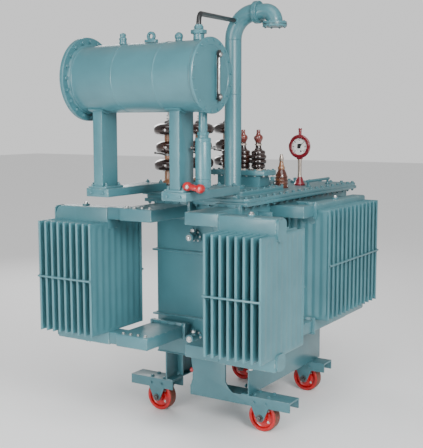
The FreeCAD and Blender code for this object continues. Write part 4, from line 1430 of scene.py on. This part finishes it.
# ------------------------------------------------------------------------------ cover fittings
@dataclass
class Bushings:
    """The high- and low-voltage bushings with their turrets, and the neutral bushing."""

    hv_core: float = 0.027
    hv_tips: tuple[float, ...] = (0.117, 0.221, 0.325)
    hv_sizes: tuple[float, ...] = (0.98, 0.87, 1.0)
    hv_half: float = 0.037
    horn_turn: float = 32.0
    horn_level: float = 0.178
    lv_core: float = 0.030
    lv_tips: tuple[float, ...] = (0.026, 0.054, 0.082, 0.107)
    lv_sizes: tuple[float, ...] = (0.86, 1.0, 1.0, 0.86)

    def build(self) -> None:
        """Build the turrets and every bushing."""
        self.turrets()
        for number in (1, 2, 3):
            self.high(number)
            self.low(number)
        self.neutral()

    def lens(self, core: float, tip: float, at: float, half: float, droop: float) -> Profile:
        """Draw one rounded shed.

        Args:
            core: the radius it grows from.
            tip: its greatest radius.
            at: the height of its tip.
            half: how far it reaches above and below the tip, at the core.
            droop: how much further down than up its lip hangs.

        Returns:
            The profile from the underside to the top.
        """
        wide = tip - core
        under = ((0.0, -half), (0.30, -half * 0.84 - droop), (0.62, -half * 0.72 - droop),
                 (0.86, -half * 0.56 - droop), (0.97, -half * 0.30 - droop))
        over = ((1.0, -droop * 0.3), (0.985, half * 0.26), (0.93, half * 0.46),
                (0.80, half * 0.66), (0.55, half * 0.84), (0.25, half * 0.95), (0.0, half))
        return [(core + wide * share, at + level) for share, level in under + over]

    def turrets(self) -> None:
        """Build the round high-voltage turrets and the low-voltage box turret."""
        shape = Shape("hv_turret_set").like_node("hv_turrets", Finish.TANK, 0.0022)
        for number in (1, 2, 3):
            spot, _ = footing(f"hv_bushing_{number}")
            shape.bolt_ring(spot - Z * 0.038, Z, 0.0625, 10, 0.0042)
            shape.lathe(spot, Z, ((0.040, 0), (0.053, 0), (0.054, 0.002), (0.054, 0.007),
                        (0.052, 0.009), (0.040, 0.009)), Finish.GASKET, 40)
            shape.bolt_ring(spot + Z * 0.007, Z, 0.0475, 6, 0.0045, Finish.STEEL)
        shape.piece("tank_paint", stands_for=["hv_turrets"])
        low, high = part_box("lv_turret")
        shape = Shape("lv_turret_box").like_node("lv_turret", Finish.TANK, 0.0035, 3)
        plate = high.z - 0.031
        for spot in frame_spots(low, high, 0.014, 0.062):
            shape.bolt(spot, Z, 0.0062)
            shape.bolt((spot.x, spot.y, plate), -Z, 0.0062, Finish.STEEL)
        shape.bead([(low.x + 0.040, low.y + 0.014, low.z + 0.002),
                    (high.x - 0.040, low.y + 0.014, low.z + 0.002)])
        shape.piece("tank_paint", stands_for=["lv_turret"])

    def high(self, number: int) -> None:
        """Build one high-voltage bushing with its arcing horns.

        Args:
            number: which of the three it is.
        """
        node = f"hv_bushing_{number}"
        low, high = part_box(node)
        at, tall = footing(node)
        big, core = (high.x - low.x) / 2, self.hv_core
        shape = Shape(f"hv_insulator_{number}")
        shape.lathe(at, Z, ((0, 0), (0.040, 0), (0.0415, 0.003), (0.0415, 0.020), (0.038, 0.026),
                    (core + 0.003, 0.032), (core, 0.040), (core, tall - 0.085),
                    (core - 0.002, tall - 0.078), (0, tall - 0.078)), Finish.TAN_NECK, 48)
        for tip, size in zip(self.hv_tips, self.hv_sizes):
            shape.lathe(at, Z, self.lens(core - 0.001, big * size, tip, self.hv_half, 0.005),
                        Finish.BROWN_GLAZE, 64)
        cap = tall - 0.086
        shape.lathe(at, Z, ((0, cap), (0.026, cap), (0.028, cap + 0.004), (0.028, cap + 0.020),
                    (0.024, cap + 0.027), (0.014, cap + 0.031), (0, cap + 0.031)),
                    Finish.DARK_STEEL, 36)
        shape.rod(at + Z * (cap + 0.030), at + Z * tall, 0.0068, Finish.STEEL, 20)
        for level in (cap + 0.036, cap + 0.052):
            shape.rod(at + Z * level, at + Z * (level + 0.010), 0.0135, Finish.STEEL, 6)
        turn = math.radians(self.horn_turn)
        way = Vector((-math.cos(turn), -math.sin(turn), 0))
        root = at + Z * self.horn_level
        shape.rod(root + way * (core - 0.004), root + way * 0.080 + Z * 0.010, 0.0042,
                  Finish.DARK_STEEL, 12)
        shape.lathe(root + way * 0.082 + Z * 0.0105, way, ((0, -0.007), (0.005, -0.005),
                    (0.007, 0), (0.005, 0.005), (0, 0.007)), Finish.DARK_STEEL, 16)
        shape.lathe(root, Z, ((core, -0.006), (core + 0.005, -0.005), (core + 0.005, 0.005),
                    (core, 0.006)), Finish.DARK_STEEL, 36)
        shape.piece("brown_glaze", stands_for=[node])

    def low(self, number: int) -> None:
        """Build one low-voltage bushing with its cap and terminal.

        Args:
            number: which of the three it is.
        """
        node = f"lv_bushing_{number}"
        low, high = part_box(node)
        at, tall = footing(node)
        big, core = (high.x - low.x) / 2, self.lv_core
        shape = Shape(f"lv_insulator_{number}")
        shape.lathe(at, Z, ((0, 0), (0.034, 0), (0.0345, 0.004), (core, 0.009), (core, 0.118),
                    (0.022, 0.128), (0.0185, 0.136), (0.0165, 0.150), (0.0165, 0.172),
                    (0, 0.172)), Finish.BROWN_GLAZE, 48)
        for tip, size in zip(self.lv_tips, self.lv_sizes):
            shape.lathe(at, Z, self.lens(core - 0.001, big * size, tip, 0.014, 0.004),
                        Finish.BROWN_GLAZE, 56)
        shape.lathe(at, Z, ((0, 0.168), (0.018, 0.168), (0.020, 0.176), (0.027, 0.188),
                    (0.0282, 0.194), (0.0265, 0.206), (0.020, 0.213), (0.0145, 0.217),
                    (0.0135, 0.222), (0, 0.222)), Finish.RED_CAP, 40)
        shape.rod(at + Z * 0.220, at + Z * tall, 0.0118, Finish.RED_CAP, 24, 0.003)
        shape.lathe(at, Z, ((0.0168, 0.150), (0.0215, 0.151), (0.0215, 0.160), (0.0168, 0.161)),
                    Finish.TAN_METAL, 32)
        shape.lathe(at, Z, ((0.033, 0.0), (0.043, 0.0), (0.043, 0.006), (0.033, 0.007)),
                    Finish.TAN_METAL, 40)
        shape.bolt_ring(at + Z * 0.006, Z, 0.0385, 4, 0.0035, Finish.STEEL, 0.8)
        shape.piece("brown_glaze", stands_for=[node])

    def neutral(self) -> None:
        """Build the bottle-shaped neutral bushing and its clamp."""
        at, tall = footing("neutral_bushing")
        shape = Shape("neutral_insulator")
        shape.lathe(at, Z, ((0, 0), (0.0455, 0), (0.046, 0.003), (0.046, 0.012), (0.041, 0.016),
                    (0.039, 0.024), (0.040, 0.040), (0.0395, 0.062), (0.037, 0.078),
                    (0.033, 0.092), (0.028, 0.104), (0.023, 0.114), (0.0215, 0.120),
                    (0, 0.120)), Finish.AMBER_GLAZE, 56)
        for level, size in ((0.030, 0.0445), (0.050, 0.0440), (0.070, 0.0415)):
            shape.lathe(at, Z, ((size - 0.008, level - 0.006), (size - 0.002, level - 0.004),
                        (size, level), (size - 0.002, level + 0.004),
                        (size - 0.008, level + 0.006)), Finish.AMBER_GLAZE, 56)
        shape.lathe(at, Z, ((0, 0.116), (0.0215, 0.116), (0.0235, 0.124), (0.022, 0.132),
                    (0.0165, 0.142), (0.0135, 0.158), (0.0120, 0.174), (0, 0.174)),
                    Finish.TAN_NECK, 40)
        shape.lathe(at, Z, ((0, 0.170), (0.0125, 0.170), (0.0145, 0.175), (0.0145, 0.188),
                    (0.0115, 0.198), (0.0095, tall - 0.004), (0.006, tall), (0, tall)),
                    Finish.TAN_METAL, 32)
        shape.bolt_ring(at + Z * 0.010, Z, 0.0435, 6, 0.004, Finish.STEEL)
        shape.piece("amber_glaze", stands_for=["neutral_bushing"])


@dataclass
class CoverFittings:
    """The dial thermometer, the vent with its outlet and thin pipe, the rail and the valves."""

    marks: int = 24
    scale_half: float = 135.0
    needle: float = 48.0
    face: float = 0.055
    tube: float = 0.050

    def build(self) -> None:
        """Build every fitting."""
        self.stem()
        self.dial()
        self.vent()
        self.rail()
        self.valves()

    def stem(self) -> None:
        """Build the thermometer's pocket and stem."""
        at, tall = footing("thermometer_stem")
        shape = Shape("thermometer_pocket")
        shape.lathe(at, Z, ((0, 0), (0.037, 0), (0.038, 0.003), (0.0375, 0.009), (0.030, 0.018),
                    (0.024, 0.034), (0.020, 0.048), (0.0165, 0.054), (0, 0.054)),
                    Finish.DIAL_RED, 48)
        shape.lathe(at, Z, ((0, 0.052), (0.0150, 0.052), (0.0140, 0.060), (0.0125, 0.080),
                    (0.0125, tall - 0.03), (0.014, tall - 0.006), (0.014, tall), (0, tall)),
                    Finish.TAN_METAL, 36)
        shape.bolt_ring(at + Z * 0.006, Z, 0.0325, 4, 0.004, Finish.STEEL, 0.3)
        shape.piece("stem_metal", stands_for=["thermometer_stem"])

    def dial(self) -> None:
        """Build the dial with its bezel, white face, marks, pointer and top stub."""
        low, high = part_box("thermometer_dial")
        big = (high.x - low.x) / 2
        at = Vector(((low.x + high.x) / 2, (low.y + high.y) / 2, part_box("thermometer_stem")[1].z
                     + 0.006 + big))
        deep = high.y - low.y
        front = Vector((at.x, low.y, at.z))
        shape = Shape("thermometer_case")
        shape.lathe(front, Y, ((self.face - 0.002, 0.007), (self.face - 0.001, 0.003),
                    (self.face + 0.004, 0.0), (big - 0.006, 0.0005), (big - 0.001, 0.005),
                    (big, 0.010), (big - 0.001, 0.014), (big - 0.005, 0.017),
                    (big - 0.006, deep - 0.008), (big - 0.012, deep - 0.001), (0, deep),
                    (0, 0.0085), (self.face - 0.002, 0.0085)), Finish.DIAL_RED, 72)
        shape.lathe(front, Y, ((0, 0.0065), (self.face - 0.0015, 0.0065),
                    (self.face - 0.0015, 0.0085), (0, 0.0085)), Finish.WHITE, 56)
        for index in range(self.marks + 1):
            turn = math.radians(-self.scale_half + 2 * self.scale_half * index / self.marks)
            way = Vector((math.sin(turn), 0, math.cos(turn)))
            start = 0.043 if index % 4 else 0.037
            shape.rod(front + way * start + Y * 0.0062, front + way * 0.049 + Y * 0.0062,
                      0.0011 if index % 4 else 0.0019, Finish.BLACK, 6, 0.0)
        turn = math.radians(self.needle)
        way = Vector((math.sin(turn), 0, math.cos(turn)))
        shape.rod(front - way * 0.014 + Y * 0.005, front + way * 0.044 + Y * 0.005, 0.0040,
                  Finish.BLACK, 8, 0.0, 0.0010)
        shape.rod(front + Y * 0.0065, front + Y * 0.0025, 0.0125, Finish.BLACK, 32)
        shape.block((front.x - 0.013, front.y + 0.0055, front.z + 0.002),
                    (front.x + 0.013, front.y + 0.0062, front.z + 0.018), Finish.BLACK, 0.0)
        shape.rod((front.x + 0.012, front.y + 0.0062, front.z - 0.030),
                  (front.x + 0.012, front.y + 0.0048, front.z - 0.030), 0.006, Finish.BLACK, 20)
        shape.rod(at + Z * (big - 0.006), Vector((at.x, at.y, high.z)), 0.0105,
                  Finish.DIAL_RED, 28)
        shape.rod(Vector((at.x, at.y, high.z - 0.012)), Vector((at.x, at.y, high.z)), 0.0122,
                  Finish.DIAL_RED, 28)
        shape.block((at.x - 0.018, low.y + 0.004, low.z), (at.x + 0.018, high.y - 0.004,
                    low.z + 0.022), Finish.DIAL_RED, 0.004)
        shape.piece("dial_red", stands_for=["thermometer_dial"])

    def vent(self) -> None:
        """Build the vent pipe, its outlet and the thin pressure pipe."""
        low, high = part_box("vent_pipe")
        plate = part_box("raised_plate")[1].z
        tube, top = self.tube, high.z - 0.064
        foot = Vector((low.x + 0.072, 0, plate))
        outlet_low, outlet_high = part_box("vent_outlet")
        foot.y = (outlet_low.y + outlet_high.y) / 2
        shape = Shape("vent_riser").like_node("vent_pipe", Finish.TANK, 0.0018)
        shape.bolt_ring(foot + Z * 0.014, Z, tube + 0.012, 8, 0.0055)
        joint = high.x
        shape.bolt_ring((joint - 0.014, foot.y, top), -X, 0.057, 8, 0.0045)
        shape.lathe(foot + Z * 0.014, Z, ((tube - 0.002, 0), (tube + 0.006, 0),
                    (tube + 0.003, 0.004), (tube - 0.002, 0.007)), Finish.TANK, 48)
        riser = top - 0.150
        for level in (riser, (riser + plate) / 2 + 0.12):
            shape.lathe((foot.x, foot.y, level), Z, ((tube - 0.002, -0.005), (tube + 0.0015, 0),
                        (tube - 0.002, 0.005)), Finish.TANK, 48)
        shape.piece("tank_paint", stands_for=["vent_pipe"])
        shape = Shape("vent_mouth").like_node("vent_outlet", Finish.TANK, 0.0018)
        shape.bolt_ring((joint + 0.014, foot.y, top), X, 0.057, 8, 0.0045)
        mouth = Vector((outlet_high.x - 0.070, foot.y, outlet_low.z))
        shape.bolt_ring(mouth + Z * 0.028, Z, 0.060, 8, 0.005)
        shape.bolt_ring(mouth, -Z, 0.060, 8, 0.005)
        shape.lathe(mouth + Z * 0.014, Z, ((0.066, -0.0012), (0.0712, -0.0012),
                    (0.0712, 0.0012), (0.066, 0.0012)), Finish.GASKET, 48)
        shape.lathe(mouth, -Z, ((0, -0.004), (0.044, -0.004), (0.044, 0.0008), (0.041, 0.0008),
                    (0.036, -0.002), (0, -0.002)), Finish.GASKET, 40)
        shape.piece("tank_paint", stands_for=["vent_outlet"])
        plain_piece("pressure_pipe", "equalizer_pipe", 0.0, "black_paint", Finish.BLACK)

    def rail(self) -> None:
        """Build the low rail with its foot discs."""
        low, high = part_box("cover_rail")
        shape = Shape("cover_grip").like_node("cover_rail", Finish.TANK, 0.001)
        for y in (low.y + 0.02, high.y - 0.02):
            x = (low.x + high.x) / 2
            shape.rod((x, y, low.z), (x, y, low.z + 0.006), 0.018, Finish.TANK)
        shape.piece("tank_paint", stands_for=["cover_rail"])

    def valves(self) -> None:
        """Build the two front valves with their flange bolts and spindle nuts."""
        low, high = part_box("front_valves")
        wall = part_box("tank_body")[0].y
        x = (low.x + high.x) / 2
        shape = Shape("drain_valves").like_node("front_valves", Finish.TANK, 0.0018)
        for z in (high.z - 0.052, low.z + 0.034):
            shape.bolt_ring((x, wall - 0.014, z), -Y, 0.027, 6, 0.0045, Finish.STEEL)
            shape.bolt((x, low.y, z), -Y, 0.012, Finish.STEEL)
            shape.rod((x, wall - 0.046, z + 0.030), (x, wall - 0.046, z + 0.046), 0.015,
                      Finish.STEEL, 6)
            shape.rod((x, wall - 0.046, z + 0.016), (x, wall - 0.046, z + 0.028), 0.019,
                      Finish.TANK, 24)
        shape.piece("valve_steel", stands_for=["front_valves"])


# ------------------------------------------------------------------------------ studio
@dataclass(frozen=True)
class Studio:
    """The pale floor, the soft lamps and the camera."""

    eye: tuple[float, float, float] = (2.6344, -4.4715, 1.7743)
    yaw: float = 32.0
    pitch: float = 6.9
    roll: float = -0.1
    lens: float = 69.11
    fill: float = 0.38
    backdrop: float = 0.95
    overhead: float = 1.5

    def floor(self) -> None:
        """Lay the floor."""
        form = bmesh.new()
        bmesh.ops.create_grid(form, x_segments=2, y_segments=2, size=30.0)
        mesh = bpy.data.meshes.new("studio_floor")
        form.to_mesh(mesh)
        form.free()
        g = Graph("studio_floor")
        cloud = g.noise(1.5, 3.0)
        colour = g.mix(cloud * 0.15, (0.95, 0.95, 0.95, 1), (0.91, 0.91, 0.92, 1))
        mesh.materials.append(g.close({"Base Color": colour, "Roughness": 0.6}))
        thing = bpy.data.objects.new("studio_floor", mesh)
        bpy.context.scene.collection.objects.link(thing)

    def lamp(self, name: str, at: Sequence[float], aim: Sequence[float], size: float,
             power: float, colour: tuple[float, float, float] = (1, 1, 1)) -> None:
        """Hang one soft lamp.

        Args:
            name: its name.
            at: where it hangs.
            aim: the point it faces.
            size: the side of its square.
            power: its power in watts.
            colour: its tint.
        """
        light = bpy.data.lights.new(name, "AREA")
        light.energy, light.size, light.color = power, size, colour
        thing = bpy.data.objects.new(name, light)
        bpy.context.scene.collection.objects.link(thing)
        thing.location = at
        way = Vector(aim) - Vector(at)
        thing.rotation_euler = way.to_track_quat("-Z", "Y").to_euler()

    def build(self) -> None:
        """Set up the floor, the lamps, the world and the camera."""
        self.floor()
        self.lamp("key", (4.4, -3.4, 3.4), (0, -0.2, 1.0), 1.8, 300)
        sunlight = bpy.data.lights.new("overhead", "SUN")
        sunlight.energy, sunlight.angle = self.overhead, math.radians(50)
        sun = bpy.data.objects.new("overhead", sunlight)
        sun.rotation_euler = Vector((-0.45, 0.55, -1.0)).to_track_quat("-Z", "Y").to_euler()
        bpy.context.scene.collection.objects.link(sun)
        self.lamp("front", (-0.4, -6.2, 1.9), (0, 0, 1.1), 2.4, 230)
        self.lamp("rim", (-4.2, 3.0, 3.4), (0, 0, 1.2), 2.4, 90)
        world = bpy.data.worlds.new("studio")
        world.use_nodes = True
        sky = world.node_tree.nodes["Background"]
        sky.inputs["Color"].default_value = (1, 1, 1, 1)
        seen = world.node_tree.nodes.new("ShaderNodeLightPath")
        level = world.node_tree.nodes.new("ShaderNodeMapRange")
        level.inputs["To Min"].default_value = self.fill
        level.inputs["To Max"].default_value = self.backdrop
        world.node_tree.links.new(seen.outputs["Is Camera Ray"], level.inputs["Value"])
        world.node_tree.links.new(level.outputs["Result"], sky.inputs["Strength"])
        bpy.context.scene.world = world
        data = bpy.data.cameras.new("camera")
        data.lens, data.sensor_width, data.clip_end = self.lens, 36.0, 200.0
        camera = bpy.data.objects.new("camera", data)
        bpy.context.scene.collection.objects.link(camera)
        camera.location = self.eye
        turn = (Matrix.Rotation(math.radians(self.yaw), 4, "Z")
                @ Matrix.Rotation(math.radians(90 - self.pitch), 4, "X")
                @ Matrix.Rotation(math.radians(self.roll), 4, "Z"))
        camera.rotation_euler = turn.to_euler()
        bpy.context.scene.camera = camera


def main() -> None:
    """Build the whole transformer and its studio.
    """
    logging.basicConfig(level=logging.INFO, format="%(name)s: %(message)s")
    assemblies = [Tank(), Radiator("radiator_front_left", 9, True, 8, crown=0.055),
                  Radiator("radiator_front_right", 8, True, 8),
                  Radiator("radiator_side_left", 13, False, 5),
                  Radiator("radiator_side_right", 13, False, 5),
                  Ducts(), Base(), Conservator(), Bushings(), CoverFittings(), Studio()]
    for assembly in assemblies:
        assembly.build()
        log.info("built %s", type(assembly).__name__)


main()
